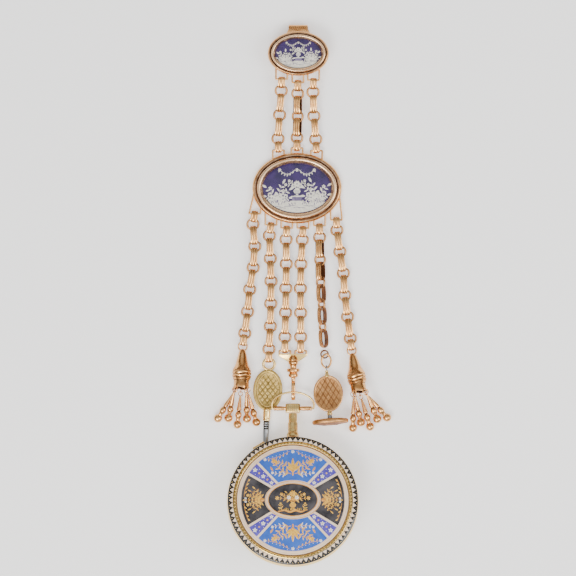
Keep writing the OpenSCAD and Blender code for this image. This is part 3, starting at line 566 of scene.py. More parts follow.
def chain(solid, rows):
    """Rings at the rows with a long link between each two of them."""
    rows = np.asarray(rows, float)
    p, roll = rows[:, :3], rows[:, 3]
    n = len(rows)
    for i in range(n):
        course = p[min(n - 1, i + 1)] - p[max(0, i - 1)]
        wire_ring(solid, p[i], along(course, roll[i]), RING_R, RING_WIRE, mark=2, swell=RING_SWELL)
    for i in range(n - 1):
        course = along(p[i + 1] - p[i], (roll[i] + roll[i + 1]) / 2)
        strap_loop(solid, (p[i] + p[i + 1]) / 2, course, ribs=3, **LINK)


PLAQUE = dict(w=38.6, h=30.6, mw=4.3)
TOP = dict(w=26.4, h=19.2, mw=3.1)
TOP_AT = np.array([0.56, 57.8, 4.7])
MOULDING_T = 4.2
STIRRUP_Z = 1.8
TOP_STIRRUP_Z = TOP_AT[2] + STIRRUP_WIRE / 2 + 0.3


def oval_y(w, h, x):
    return h / 2 * sqrt(max(0, 1 - (2 * x / w) ** 2))


TOP_BARS = [(-8.0, 2.4), (0, 2.0), (8.4, 2.4)]
LOW_BARS = [(-11.2, -3.4), (-4.4, -2.3), (2.6, -2.1), (9.7, -2.9)]
LEFT_BAR, RIGHT_BAR = (-18.2, -11), (17, -13.7)
LEFT_FOOT_X, RIGHT_FOOT_X = -15.4, 14.4
UPPER_BARS = [(-7.16, -2.9), (-0.16, -2.8), (6.54, -3.1)]


def main_bar(b, side):
    return np.array([b[0], side * oval_y(PLAQUE["w"], PLAQUE["h"], b[0]) + b[1], STIRRUP_Z])


def upper_bar(b):
    return np.array([TOP_AT[0] + b[0], TOP_AT[1] - oval_y(TOP["w"], TOP["h"], b[0]) + b[1], TOP_STIRRUP_Z])


def flat(*places):
    """Rows of chain rings that lie on the floor, unrolled."""
    return [(x, y, STIRRUP_Z, 0) for x, y in places]


# Rows of chain rings from the top down: x, y, z and roll
UPPER = {
    "upper_chain_left": [(-6.8, 41.9, 4.3, 0), (-7.5, 31.5, 2.6, 0), (-8.2, 21.3, 1.9, 0)],
    "upper_chain_middle": [(0.3, 40.6, 4.4, 12), (0.3, 30.9, 2.9, 26), (0.0, 21.7, 2.2, 16)],
    "upper_chain_right": [(6.9, 41.3, 4.35, 0), (7.3, 31.0, 2.6, 0), (8.1, 21.0, 1.9, 0)],
}
LOWER = {
    "lower_chain_1": flat((-19.0, -15.6), (-18.2, -25.1), (-18.9, -34.3), (-20.4, -43.7), (-21.3, -53.3),
                          (-22.5, -62.6)),
    "lower_chain_2": flat((-11.9, -20.5), (-11.5, -30.4), (-11.2, -40.1), (-11.3, -49.8), (-11.5, -59.6),
                          (-12.1, -69.4)),
    "lower_chain_3": flat((-4.7, -22.2), (-4.6, -32.7), (-4.8, -43.2), (-4.9, -53.7), (-5.2, -64.2)),
    "lower_chain_4": flat((2.3, -22.3), (1.7, -32.8), (1.5, -43.3), (1.6, -53.8), (1.6, -64.2)),
    "lower_chain_5": [(9.75, -21.25, 1.85, 10), (9.95, -30.9, 2.35, 30), (10.2, -40.6, 2.5, 48),
                      (10.6, -50.1, 2.5, 60), (11.0, -59.6, 2.5, 60)],
    "lower_chain_6": flat((17.2, -18.2), (18.5, -27.4), (20.0, -36.7), (20.6, -46.2), (21.8, -55.5),
                          (23.0, -64.9)),
}
LEFT_RING, RIGHT_RING = np.array([-23.4, -68.2, 1.8]), np.array([23.6, -70.0, 1.8])
KEY_RING = np.array([-12.1, -75.9, 1.68])
TASSEL_RING_R = 1.9
# Chain 5's last link and the small ring that takes the seal's ring, both from its last chain ring
LAST_LINK, SEAL_LOOP, SEAL_LOOP_R = np.array([0.4, -5.1, -0.2]), np.array([0.9, -12, -0.9]), 1.6
YOKE_X, YOKE_Y = [LOWER[name][-1][0] for name in ("lower_chain_3", "lower_chain_4")], -70.1
YOKE_TOP, YOKE_FOOT, YOKE_WAIST, YOKE_LOW, YOKE_TIP = -71.4, -71.8, -72.2, -75, 2
STARTS = {
    "lower_chain_1": (*LEFT_BAR, STIRRUP_Z), "lower_chain_2": main_bar(LOW_BARS[0], -1),
    "lower_chain_3": main_bar(LOW_BARS[1], -1), "lower_chain_4": main_bar(LOW_BARS[2], -1),
    "lower_chain_5": main_bar(LOW_BARS[3], -1), "lower_chain_6": (*RIGHT_BAR, STIRRUP_Z),
}
END_RINGS = {"lower_chain_1": LEFT_RING, "lower_chain_2": KEY_RING, "lower_chain_6": RIGHT_RING}


def chains():
    for (name, rows), high, low in zip(UPPER.items(), UPPER_BARS, TOP_BARS):
        s = Solid(ROSE, ROSE_SHADE, ROSE_SATIN)
        chain(s, rows)
        short_link(s, upper_bar(high), rows[0])
        short_link(s, main_bar(low, 1), rows[-1])
        s.build(name + "_links", name)
    for name, rows in LOWER.items():
        s = Solid(ROSE, ROSE_SHADE, ROSE_SATIN)
        chain(s, rows)
        short_link(s, STARTS[name], rows[0])
        last = np.array(rows[-1][:3])
        if name in END_RINGS:
            ring = END_RINGS[name]
            short_link(s, ring + unit(last - ring) * TASSEL_RING_R, rows[-1])
        elif name == "lower_chain_5":
            strap_loop(s, last + LAST_LINK, along(LAST_LINK, rows[-1][3]), ribs=3, **LINK)
            # The small ring is coloured all in the darker rose gold: painted shade among the rings.
            wire_ring(s, last + SEAL_LOOP, np.eye(3), SEAL_LOOP_R, RING_WIRE, mark=1)
        else:
            short_link(s, (last[0], YOKE_Y, STIRRUP_Z), rows[-1])
        s.build(name + "_links", name)


chains()


# Plaques
def oval_ring(w, h, inset, z, n=168):
    a = angles(n)
    normal = np.stack([h * np.cos(a), w * np.sin(a)], 1)
    normal /= np.linalg.norm(normal, axis=1)[:, None]
    p = np.stack([w / 2 * np.cos(a), h / 2 * np.sin(a)], 1) - inset * normal
    return np.column_stack([p, np.full(n, z)])


def moulding_profile(mw, t):
    """Rounded outer roll, deep groove, raised band, then the sloping bezel round the panel."""
    roll = (0, 0.3), (0.04, 0.5), (0.14, 0.64), (0.25, 0.69), (0.34, 0.65), (0.4, 0.54)
    bezel = ((0.43, 0.5), (0.46, 0.6), (0.49, 0.84), (0.56, 0.96), (0.66, 1), (0.76, 0.985), (0.84, 0.93),
             (0.92, 0.82), (1, 0.72))
    roll, bezel = ([(i * mw, z * t) for i, z in rows] for rows in (roll, bezel))
    roll = [(0.25, 0), (0.02, 0.12 * t)] + roll
    return smooth_rows(roll) + smooth_rows(bezel) + [(mw, 0.1 * t), (mw - 0.2, 0)]


def stirrup(solid, bar, feet, z, r=STIRRUP_WIRE / 2):
    """Rounded square wire from one foot across to the other."""
    half = (STIRRUP_W - STIRRUP_WIRE) / 2
    c = 0.25  # from a corner to where its bend starts
    (ax, ay), (bx, by) = feet
    lx, rx, y = bar[0] - half, bar[0] + half, bar[1]
    da, db = unit(np.array([ax - lx, ay - y])) * c, unit(np.array([bx - rx, by - y])) * c
    path = [(ax, ay), (lx + da[0], y + da[1]), (lx + c * 0.25, y + da[1] * 0.25), (lx + c, y),
            (rx - c, y), (rx - c * 0.25, y + db[1] * 0.25), (rx + db[0], y + db[1]), (bx, by)]
    path = [(x, yy, z) for x, yy in path]
    a = angles(16) + pi / 16
    rings = []
    for i, p in enumerate(path):
        d = heading(path, i)
        side = np.array([d[1], -d[0], 0])
        rings.append([np.array(p) + r * (spow(cos(t), 0.5) * side + spow(sin(t), 0.5) * Z) for t in a])
    solid.skin(rings)


def straight_feet(size, x, side):
    half = (STIRRUP_W - STIRRUP_WIRE) / 2
    return [(x + s * half, side * (oval_y(size["w"], size["h"], x + s * half) - 1.2)) for s in (-1, 1)]


PLATE_T = 1.0
SATIN, BEZEL, GROOVE = 1, 2, 3


def plaque(solid, size, at):
    w, h, mw = size["w"], size["h"], size["mw"]
    rows = moulding_profile(mw, MOULDING_T)
    rings = [oval_ring(w, h, i, z) + at for i, z in rows]

    # The bezel takes the paler rose gold, a painted highlight; the roll's inner slope and the groove take the
    # darker, rougher one, painted shade.
    def tone(i, j):
        share = rows[i][0] / mw
        return BEZEL if share > 0.44 else GROOVE if share > 0.2 else 0

    solid.skin(rings, closed=True, marks=tone)
    plate = ((mw + 2.5, 0), (mw - 0.3, 0), (mw - 0.3, PLATE_T), (mw + 2.5, PLATE_T))
    solid.skin([oval_ring(w, h, i, z) + at for i, z in plate], mark=SATIN)


def plaques():
    s = Solid(ROSE, ROSE_SATIN, ROSE_HIGHLIGHT, ROSE_GROOVE_SHADE)
    plaque(s, PLAQUE, (0, 0, 0))
    w, h = PLAQUE["w"], PLAQUE["h"]
    for b, side in [(b, 1) for b in TOP_BARS] + [(b, -1) for b in LOW_BARS]:
        stirrup(s, main_bar(b, side), straight_feet(PLAQUE, b[0], side), STIRRUP_Z)
    low_feet = [(x, 2 - oval_y(w, h, x)) for x in (LEFT_FOOT_X, RIGHT_FOOT_X)]
    stirrup(s, LEFT_BAR, [(1 - w / 2, -1.4), low_feet[0]], STIRRUP_Z)
    stirrup(s, RIGHT_BAR, [low_feet[1], (w / 2 - 1, -3)], STIRRUP_Z)
    s.build("main_plaque_moulding", "main_plaque_frame")
    s = Solid(ROSE, ROSE_SATIN, ROSE_HIGHLIGHT, ROSE_GROOVE_SHADE)
    plaque(s, TOP, TOP_AT)
    for b in UPPER_BARS:
        feet = [(x + TOP_AT[0], y + TOP_AT[1]) for x, y in straight_feet(TOP, b[0], -1)]
        stirrup(s, upper_bar(b), feet, TOP_STIRRUP_Z)
    s.build("top_plaque_moulding", "top_plaque_frame")


plaques()

HOOK_T, BELT_GAP = 0.9, 2.8
CREST_W, CREST_H, TONGUE_L = 8.3, 3.0, 20.0
TIP_L, TAPER, EDGE = 3.0, 1.15, 0.15


def belt_hook():
    """Crest bent down into the tongue: one strap, engraved with a lattice on the crest."""
    top = TOP["h"] / 2 + CREST_H
    root = oval_y(TOP["w"], TOP["h"], 6) - 1.4
    bend = HOOK_T + BELT_GAP / 2
    mid_r = bend - HOOK_T / 2
    rows = []
    for y in np.linspace(root - 4, top - bend, 26):
        if y < root:
            half = 6 + 0.6 * (y - root + 4) / 4
        else:
            narrow = max(0, min(1, (top - 1.2 - y) / (top - 1.2 - root)))
            half = CREST_W / 2 + (6.6 - CREST_W / 2) * narrow ** 1.7
        rows.append((y, 2 * bend - HOOK_T / 2, half))
    rows += [(top - bend + mid_r * sin(t), bend + mid_r * cos(t), CREST_W / 2)
             for t in np.linspace(0.12, pi - 0.12, 12)]
    end = top - TONGUE_L + TIP_L
    rows += [(y, HOOK_T / 2, CREST_W / 2 - TAPER * (top - bend - y) / (top - bend - end))
             for y in np.linspace(top - bend, end, 14)]
    rows += [(end - TIP_L * t, HOOK_T / 2, 1.6 + 1.4 * sqrt(1 - t * t)) for t in (0.3, 0.55, 0.75, 0.9, 0.99)]
    s = Solid(ROSE, ROSE_SHADE)
    rings = []
    for i, (y, z, half) in enumerate(rows):
        d = heading([row[:2] for row in rows], i)
        n = np.array([-d[1], d[0]]) * HOOK_T / 2
        section = (-half, 0.7), (EDGE - half, 1), (half - EDGE, 1), (half, 0.7)
        section += tuple((x, -k) for x, k in section[::-1])
        rings.append([(x, y + k * n[0], z + k * n[1]) for x, k in section])
    s.skin(np.array(rings) + [TOP_AT[0], TOP_AT[1], 0])
    x, y, z = TOP_AT[0], TOP_AT[1] + top, 2 * bend + 0.02
    for k in range(9):
        for m in (0, 1):
            s.bead((x - 3.5 + k * 0.88 + 0.22 * m, y - 1.55 - m * 0.85, z - 0.06), 0.27, 10, 4)
    # The engraved cuts take the darker rose gold: painted shade in the cuts.
    for k in range(-5, 6):
        for side in (-1, 1):
            cut = [(x + k * 0.8 + side * a, y - b, z - 0.03) for a, b in ((-0.4, 1.0), (0.5, 2.9))]
            s.tube(cut, 0.07, 5, mark=1)
    s.build("belt_hook_crest", "belt_hook")


belt_hook()

# Tassels
CAP_D, CONE_L, BELL_L, COLLAR_D, BALL_D, DROP_L = 8.4, 9.4, 7.4, 6.6, 3.7, 13.4
TASSEL_RISE = asin((CAP_D / 2 + 0.1 - LEFT_RING[2]) / (CONE_L + TASSEL_RING_R))
TASSEL_AXIS = np.array([0, -cos(TASSEL_RISE), sin(TASSEL_RISE)])
TASSEL_UP = np.array([0, sin(TASSEL_RISE), cos(TASSEL_RISE)])
APEX_S = TASSEL_RING_R - 0.2
HOLE_S = APEX_S + CONE_L + BELL_L - 0.9
JUMP_R, JUMP_WIRE, EYE_R = 1.15, 0.36, 0.9
HANG_L = 2 * JUMP_R - 0.56
LEFT_DROPS = [(202, -9.6), (131, -5.1), (270, -1.1), (58, 2.9), (345, 7.0)]
RIGHT_DROPS = [(200, -5.3), (124, -1.5), (270, 2.1), (50, 5.7), (345, 10)]


def round_axis(s, r, a):
    a = radians(a)
    return s * TASSEL_AXIS + r * cos(a) * X + r * sin(a) * TASSEL_UP


def to_ball(p, x, floor_z, length):
    dx, dz = x - p[0], floor_z + BALL_D / 2 + 0.05 - p[2]
    return np.array([dx, -sqrt(length ** 2 - dx * dx - dz * dz), dz])


def drop_profile():
    b = BALL_D / 2
    shares = [(0.35, 0.8), (0.5, 1.03), (0.535, 1.0), (0.55, 0.66), (0.565, 0.66), (0.6, 1.08), (0.66, 1.38),
              (0.72, 1.38), (0.78, 1.05), (0.815, 0.85)]
    stem = smooth_rows([(EYE_R - 0.1, 0.36), (EYE_R + 0.5, 0.46)] + [(DROP_L * q, r) for q, r in shares], 2)
    ball = [(DROP_L - b * cos(a), b * sin(a)) for a in np.radians(np.linspace(27, 177, 12))]
    return stem + ball


def tassel(side, ring, turn_z, drops):
    base = turn(2, turn_z)
    r, c = CAP_D / 2, COLLAR_D / 2
    m = APEX_S + CONE_L
    e = m + BELL_L
    axis_frame = base @ np.column_stack([X, np.cross(TASSEL_AXIS, X), TASSEL_AXIS])
    s = Solid(ROSE, ROSE_SHADE)
    wire_ring(s, ring, base, TASSEL_RING_R, RING_WIRE, n=32)
    rows = smooth_rows(offset(APEX_S, 0, (-0.4, 0.75), (0, 1.15), (1.5, 1.72))
                       + offset(m, r, (-3.5, -1.45), (-1.2, -0.45), (-0.35, -0.12)), 4)
    first = len(rows)
    rows += offset(m, r, (-0.15, -0.3), (0, -0.36), (0.15, -0.12), (0.5, 0), (0.95, -0.05), (1.25, -0.32),
                   (1.4, -0.4), (1.6, -0.22), (2.05, -0.04), (2.5, -0.2), (2.7, -0.5), (2.95, -0.46),
                   (3.25, -0.4), (3.6, -0.66))
    rows += offset(m, c, (3.8, 0.02), (4.1, -0.06), (4.3, 0.02))
    lip = len(rows)
    rows += offset(e, c, (-0.35, 0), (0, -0.08), (-0.02, -0.5), (-1, -0.6)) + offset(m, c, (1.4, -0.62))

    def wave(i, a):
        if first <= i <= first + 11:
            return 0, 0.2 * np.sin(3 * a + 0.9 * (i - first) / 4)
        if lip <= i <= lip + 2:
            return 0, 0.2 * np.cos(5 * a) - 0.1
        return 0, 0

    # The cap's groove rows and the inside of the bell's mouth take the darker rose gold: painted shade.
    dark = {first, first + 1, first + 5, first + 6, first + 10, first + 14}
    s.lathe(ring, axis_frame, rows, 64, wave=wave, marks=lambda i, j: 1 if i in dark or i >= lip + 2 else 0)
    for d, _ in drops:
        out = base @ unit(round_axis(0, 1, d))
        hole = ring + base @ round_axis(HOLE_S, 0, d) + out * (c + 0.01)
        # Each hole is a disc of the darker rose gold: painted shade in the hole.
        s.lathe(hole, axial(out), [(-0.3, 0.4), (0.0, 0.42), (0.015, 0.4), (0.015, 0.0)], 14, mark=1)
    s.build("tassel_%s_bell" % side, "tassel_%s_cap" % side)

    s = Solid(ROSE, ROSE_SHADE)
    rows = drop_profile()
    for d, x in drops:
        hole = round_axis(HOLE_S, c - 0.3, d)
        out = unit(round_axis(0, 1, d))
        line = to_ball(hole, x, -ring[2], DROP_L + EYE_R + HANG_L)
        down = unit(line - (line @ out) * out)
        across = np.cross(down, out)
        upright = base @ np.column_stack([down, out, -across])
        wire_ring(s, ring + base @ (hole + JUMP_R * down), upright, JUMP_R, JUMP_WIRE, 24, 8)
        hang = hole + HANG_L * down
        z = unit(to_ball(hang, x, -ring[2], DROP_L + EYE_R))
        y = unit(np.cross(z, across))
        f = base @ np.column_stack([np.cross(y, z), y, z])
        at = ring + base @ (hang + EYE_R * z)
        wire_ring(s, at, f @ turn(0, 90), EYE_R, JUMP_WIRE, 22, 8)
        # The narrow waist of each drop takes the darker rose gold: painted shade in the crease.
        s.lathe(at, f, rows, 28, marks=lambda i, j: 1 if 0.54 < rows[i][0] / DROP_L < 0.57 else 0)
    s.build("tassel_%s_pendants" % side, "tassel_%s_drops" % side)


tassel("left", LEFT_RING, -2, LEFT_DROPS)
tassel("right", RIGHT_RING, 10, RIGHT_DROPS)


# Key and seal
KEY_W, KEY_H, KEY_T = 12.7, 17.8, 1.3
KEY_RING_R, KEY_RING_WIRE = 2.43, 1.2
KEY_MID = KEY_RING_R + KEY_H / 2 - 0.2
COLLAR_S = KEY_MID + KEY_H / 2 - 0.6
COLLAR_LEN, KEY_COLLAR_D, KEY_TURN, SQUARE_W = 5, 3.3, -2.5, 1.2
BARREL_D, BARREL_END_D, BARREL_L = 2.75, 2.4, 10.8
SEAL_W, SEAL_H, SEAL_T = 12.8, 15.8, 1.5
BASE_W, BASE_H, BASE_T, BASE_S = 15.6, 11.0, 2.2, 23.2
SEAL_RING = np.array([12.6, -74.5, 2.5])
SEAL_RING_W, SEAL_RING_H, SEAL_RING_WIRE = 4.1, 6.0, 0.9
SEAL_TURN, SEAL_EYE_R, SEAL_EYE_WIRE, SEAL_NECK = 4, 1.1, 0.6, 3.1
SUNK = 0.14


def oval_plate(solid, w, h, t, at, frame_, rim, mark_face):
    """Oval plate whose rim stands a little above its engraved faces."""
    half = t / 2
    rows = [(5.0, half - SUNK)] + offset(rim, half, (0.3, -SUNK), (0.1, -0.06), (-0.12, 0))
    rows += offset(0, half, (0.3, 0), (0.1, -0.1), (0, -0.3))
    rows += [(i, -z) for i, z in rows[::-1]]
    rings = [place(oval_ring(w, h, i, z, 96), at, frame_) for i, z in rows]
    solid.skin(rings, marks=lambda i, j: mark_face if i in (0, 1) or i >= len(rows) - 3 else 0)
    solid.marks[-2:] = [mark_face, mark_face]


def key():
    base = turn(2, KEY_TURN)

    def at(y):
        return KEY_RING + base @ np.array([0, -y, 0])

    s = Solid(GOLD_SATIN, GOLD, GOLD_SHADE)
    wire_ring(s, KEY_RING, base, KEY_RING_R, KEY_RING_WIRE, 44, 14, mark=1)
    mid = at(KEY_MID)
    pitch, slant, margin = 1.75, 52, 2.6
    step_x, step_y = pitch / 2 / sin(radians(slant)), pitch / 2 / cos(radians(slant))
    for f in (base, base @ turn(1, 180)):
        s.on(mid, f, KEY_T / 2 - SUNK)
        # The lattice's lines and the inner of the two rim lines take the darker yellow gold: painted shade in
        # the cuts.
        s.lattice(KEY_W, KEY_H, 2.0, pitch, (slant, -slant), 0.055, 2, 0.11)
        for inset, w, mark in ((1.35, 0.22, 2), (1.8, 0.3, 1)):
            pts = oval_ring(KEY_W, KEY_H, inset, 0, 72)[list(range(72)) + [0, 1], :2]
            s.stroke(pts, w, mark, 0.1)
        for i in range(-4, 5):
            for j in range(-3, 4):
                x, y = i * step_x, j * step_y
                inside = hypot(x / (KEY_W / 2 - margin), y / (KEY_H / 2 - margin)) < 1
                if inside and (i + j) % 2:
                    s.dot((x, y), 0.3, 0, 0.1, 8)
                    for k in range(4):
                        s.leaf((x, y), 90 * k, 0.62, 0.3, 1, 0, 0.07)
    oval_plate(s, KEY_W, KEY_H, KEY_T, mid, base, 1.0, 0)
    down = base @ axial(-Y)
    r = KEY_COLLAR_D / 2
    rows = [(-0.6, 0.9), (-0.2, 1.1)] + offset(0, r, (0, 0), (0.5, 0), (0.7, -0.16), (0.9, 0))
    rows += offset(COLLAR_LEN, r, (-1.3, -0.1), (-1.1, -0.26), (-0.9, -0.1), (-0.3, -0.12), (0, -0.3))
    s.lathe(at(COLLAR_S), down, smooth_rows(rows + [(COLLAR_LEN, 0.1)]), 32, mark=1)
    s.build("key_plate", "watch_key")

    s = Solid(STEEL, STEEL_SHADE)
    length = np.linspace(0, BARREL_L, 60)
    # Grooves near the top of the barrel take the near-black steel: painted shade.
    ringed = [q < 3.4 and q % 0.95 < 0.5 for q in length]
    rows = [(q, BARREL_D / 2 + (BARREL_END_D - BARREL_D) / 2 * q / BARREL_L - (0.12 if dark else 0))
            for q, dark in zip(length, ringed)]
    top = COLLAR_S + COLLAR_LEN + 0.1
    s.lathe(at(top), down, rows, 28, marks=lambda i, j: int(ringed[i]) if i < len(ringed) else 0)
    # The square hole at the barrel's end is a near-black square: painted shade.
    h = SQUARE_W / 2
    square = [(-h, -h, 0.01), (h, -h, 0.01), (h, h, 0.01), (-h, h, 0.01)]
    s.add(place(square, at(top + BARREL_L), down), [(0, 1, 2, 3)], 1)
    s.build("key_barrel_steel", "key_barrel")


def seal():
    s = Solid(ROSE)
    t = np.radians(np.arange(0, 360, 7.5))
    x = SEAL_RING_W / 2 * np.cos(t) * (np.abs(np.cos(t)) + 0.001) ** 0.3
    y = SEAL_RING_H / 2 * np.sin(t)
    s.tube(np.stack([x, y, 0 * x], 1) + SEAL_RING, SEAL_RING_WIRE / 2, 12, closed=True, up=Z)
    s.build("seal_ring_wire", "seal_ring")
    eye = SEAL_RING + [0.1, -3.1, 0]
    rise = degrees(asin((BASE_H / 2 + 0.1 - eye[2]) / BASE_S))
    f = turn(2, SEAL_TURN) @ turn(0, -rise)

    def at(y):
        return eye + f @ np.array([0, y, 0])

    s = Solid(ROSE, ROSE_SATIN, ROSE_SHADE, GOLD, STEEL, ROSE_BROWN)
    wire_ring(s, eye, f @ turn(1, 90), SEAL_EYE_R, SEAL_EYE_WIRE, 26, 10, mark=4)
    down = f @ axial(-Y)
    neck = smooth_rows([(0, 0.5), (0.3, 0.75), (0.6, 0.62), (0.9, 0.68), (2.2, 1.0), (2.7, 1.12), (3.3, 0.5)])
    s.lathe(at(-0.95), down, neck, 28, mark=3)
    mid = at(-SEAL_NECK - SEAL_H / 2)
    for g in (f, f @ turn(1, 180)):
        s.on(mid, g, SEAL_T / 2 - SUNK)
        # The wide lattice lines take the darker rose gold: painted shade in the cuts.
        for pitch, r, mark, twin in ((1.9, 0.075, 2, 0.17), (0.95, 0.035, 0, 0)):
            s.lattice(SEAL_W, SEAL_H, 1.1, pitch, (58, -58), r, mark, twin)
    oval_plate(s, SEAL_W, SEAL_H, SEAL_T, mid, f, 0.6, 1)
    top = 2.6 + SEAL_H
    rows = smooth_rows([(-0.8, 0.35), (0, 0.75), (0.9, 1.1), (1.6, 1.15), (2.0, 0.95), (2.5, 1.0),
                        (BASE_S - top - BASE_T / 2 + 0.2, 1.15)])
    s.lathe(at(-top), down, rows, 28, marks=lambda i, j: 4 if rows[i][0] > 1.9 else 3)
    g = f @ turn(0, 90)
    face = [(5.3, -1.62), (4.0, -1.45), (2.6, -1.2), (1.4, -0.95), (0.75, -0.75)]
    rim = [(0.6, -0.88), (0.3, -0.85), (0.08, -0.6), (0.0, -0.3), (0.0, 0.3), (0.08, 0.6), (0.4, 0.9)]
    rows = face + rim + [(1.4, 1.15), (3.0, 1.3), (5.3, 1.4)]
    rings = [place(oval_ring(BASE_W, BASE_H, i, -z, 96), at(-BASE_S), g) for i, z in rows]
    # The row where the face meets the rim takes the darker rose gold: painted shade in the crease.
    s.skin(rings, marks=lambda i, j: 5 if i < len(face) - 1 else 2 if i == len(face) - 1 else 1)
    s.marks[-2] = 5
    s.build("seal_plates", "seal")


key()
seal()

# Swivel, bow and pendant
BODY_D, FLANGE_D, PIN_D = 4.3, 5.6, 1.6
SWIVEL = np.array([-1.6, -72, FLANGE_D / 2 + 0.1])
NECK_S, HOOK_S, HOOK_GAP = 5.6, 11, 3.9
HOOK_L, HOOK_H, HOOK_W, HOOK_STRAP = 8.4, 4.6, 1.8, 1.1
BAR_L, BAR_D, BOW_WIRE, BOW_W, BOW_H, BOW_FOOT = 16.4, 2.0, 0.9, 18.2, 7.0, 14
BOW_IN_HOOK = 4.9
BAR_X, BAR_Y, BAR_Z, BOW_TOP_Z = -1.8, SWIVEL[1] - HOOK_S - BOW_IN_HOOK - BOW_H, 3.45, 3.5
CASE_D, BAND_T, ZIGZAG_W, BEADED_W, DOME_H, GLASS_R, GLASS_D = 55.8, 6.0, 2.3, 1.5, 1.2, 36.0, 47.0
STEM_L, STEM_D, PENDANT_W = 11.2, 3.8, 6.4
REACH = CASE_D / 2 + STEM_L + BAR_D * 0.9
GLASS_DROP, GLASS_T = 0.92, 0.8
GLASS_C = sqrt(GLASS_R ** 2 - GLASS_D ** 2 / 4) - BAND_T / 2 - GLASS_DROP
LEAN = degrees(atan2(REACH, GLASS_C) - acos((GLASS_R - BAR_Z) / hypot(REACH, GLASS_C)))
WATCH_AT = np.array([BAR_X, BAR_Y - REACH * cos(radians(LEAN)), BAR_Z + REACH * sin(radians(LEAN))])
WATCH = turn(0, -LEAN)


def swivel():
    s = Solid(ROSE, GOLD)
    half = STIRRUP_W / 2
    for x in YOKE_X:
        stirrup(s, (x, YOKE_Y), [(x - half + 0.5, YOKE_FOOT), (x + half - 0.5, YOKE_FOOT)], STIRRUP_Z)
    left, right, x = YOKE_X[0] - half, YOKE_X[1] + half, SWIVEL[0]
    outline = np.array([(left, YOKE_TOP), (right, YOKE_TOP), (right, YOKE_WAIST), (x + YOKE_TIP, YOKE_LOW),
                        (x - YOKE_TIP, YOKE_LOW), (left, YOKE_WAIST)])
    mid = outline.mean(0)
    rings = [np.column_stack([(outline - mid) * k + mid, np.full(len(outline), STIRRUP_Z + z)])
             for k, z in ((0.9, -0.7), (1, -0.5), (1, 0.5), (0.93, 0.7))]
    s.skin(rings, mark=1)
    down = axial(-Y)
    rows = smooth_rows([(0, 0.02), (0.15, 0.8), (0.6, 1.4)]
                       + offset(0, BODY_D / 2, (1.3, -0.4), (2.0, -0.1), (2.4, -0.3), (2.7, -0.05), (3.4, 0))
                       + [(3.9, 1.9), (4.4, 1.6), (5.0, 1.45), (NECK_S, 1.5)])
    rows += [(NECK_S, PIN_D / 2 + 0.08), (3.3, PIN_D / 2 + 0.08)]
    s.lathe(SWIVEL, down, rows, 32)
    s.build("swivel_body", "swivel_yoke")

    s = Solid(ROSE)
    r = FLANGE_D / 2
    rows = offset(NECK_S, 0, (0.1, PIN_D / 2), (0.1, 2.2), (0.25, r - 0.1), (0.5, r), (1.3, r), (1.55, 2.5),
                  (1.9, 1.8), (2.2, 1.85), (2.6, 2.1), (3.4, 2.1), (3.8, 1.75), (4.1, 1.25), (4.3, 0.95))
    s.lathe(SWIVEL, down, [(3.4, PIN_D / 2)] + smooth_rows(rows + [(HOOK_S + 0.5, 0.85)]), 36)
    r_out, r_in = HOOK_H / 2, HOOK_H / 2 - HOOK_STRAP
    mid_r = (r_out + r_in) / 2
    near, far = r_out, HOOK_L - r_out
    path = [(HOOK_L - HOOK_GAP, mid_r)]
    for end, start in ((near, pi / 2), (far, -pi / 2)):
        path += [(end + mid_r * cos(t), mid_r * sin(t)) for t in np.linspace(start, start + pi, 15)]
    path += [(HOOK_L - HOOK_GAP + 1.5, mid_r)]
    rings = []
    for i, p in enumerate(path):
        d = heading(path, i)
        n = np.array([-d[1], d[0]])
        ring = []
        for t in angles(14) + pi / 14:
            u, v = spow(cos(t), 0.6) * HOOK_STRAP / 2, spow(sin(t), 0.6) * HOOK_W / 2
            ring.append((SWIVEL[0] + v, SWIVEL[1] - HOOK_S - (p[0] + n[0] * u), SWIVEL[2] + p[1] + n[1] * u))
        rings.append(ring)
    s.skin(rings)
    s.build("swivel_hook_wire", "swivel_hook", "hook")


def bow():
    side, foot = BAR_L / 2, sin(radians(BOW_FOOT))
    arch = []
    for t in np.radians(np.linspace(-BOW_FOOT, 180 + BOW_FOOT, 60)):
        y = BOW_H * (sin(t) + foot) / (1 + foot)
        arch.append((BOW_W / 2 * cos(t), y, (BOW_TOP_Z - BAR_Z) * max(0, y) / BOW_H))
    path = [(side - 1.7, 0, 0), (side + 0.1, 0, 0)] + arch + [(-side - 0.1, 0, 0), (1.7 - side, 0, 0)]
    r = [0.4, 0.4] + [BOW_WIRE / 2] * len(arch) + [0.4, 0.4]
    s = Solid(GOLD)
    s.tube(np.array(path) + [BAR_X, BAR_Y, BAR_Z], r, 12, up=Z)
    s.build("bow_wire", "watch_bow", "hook")


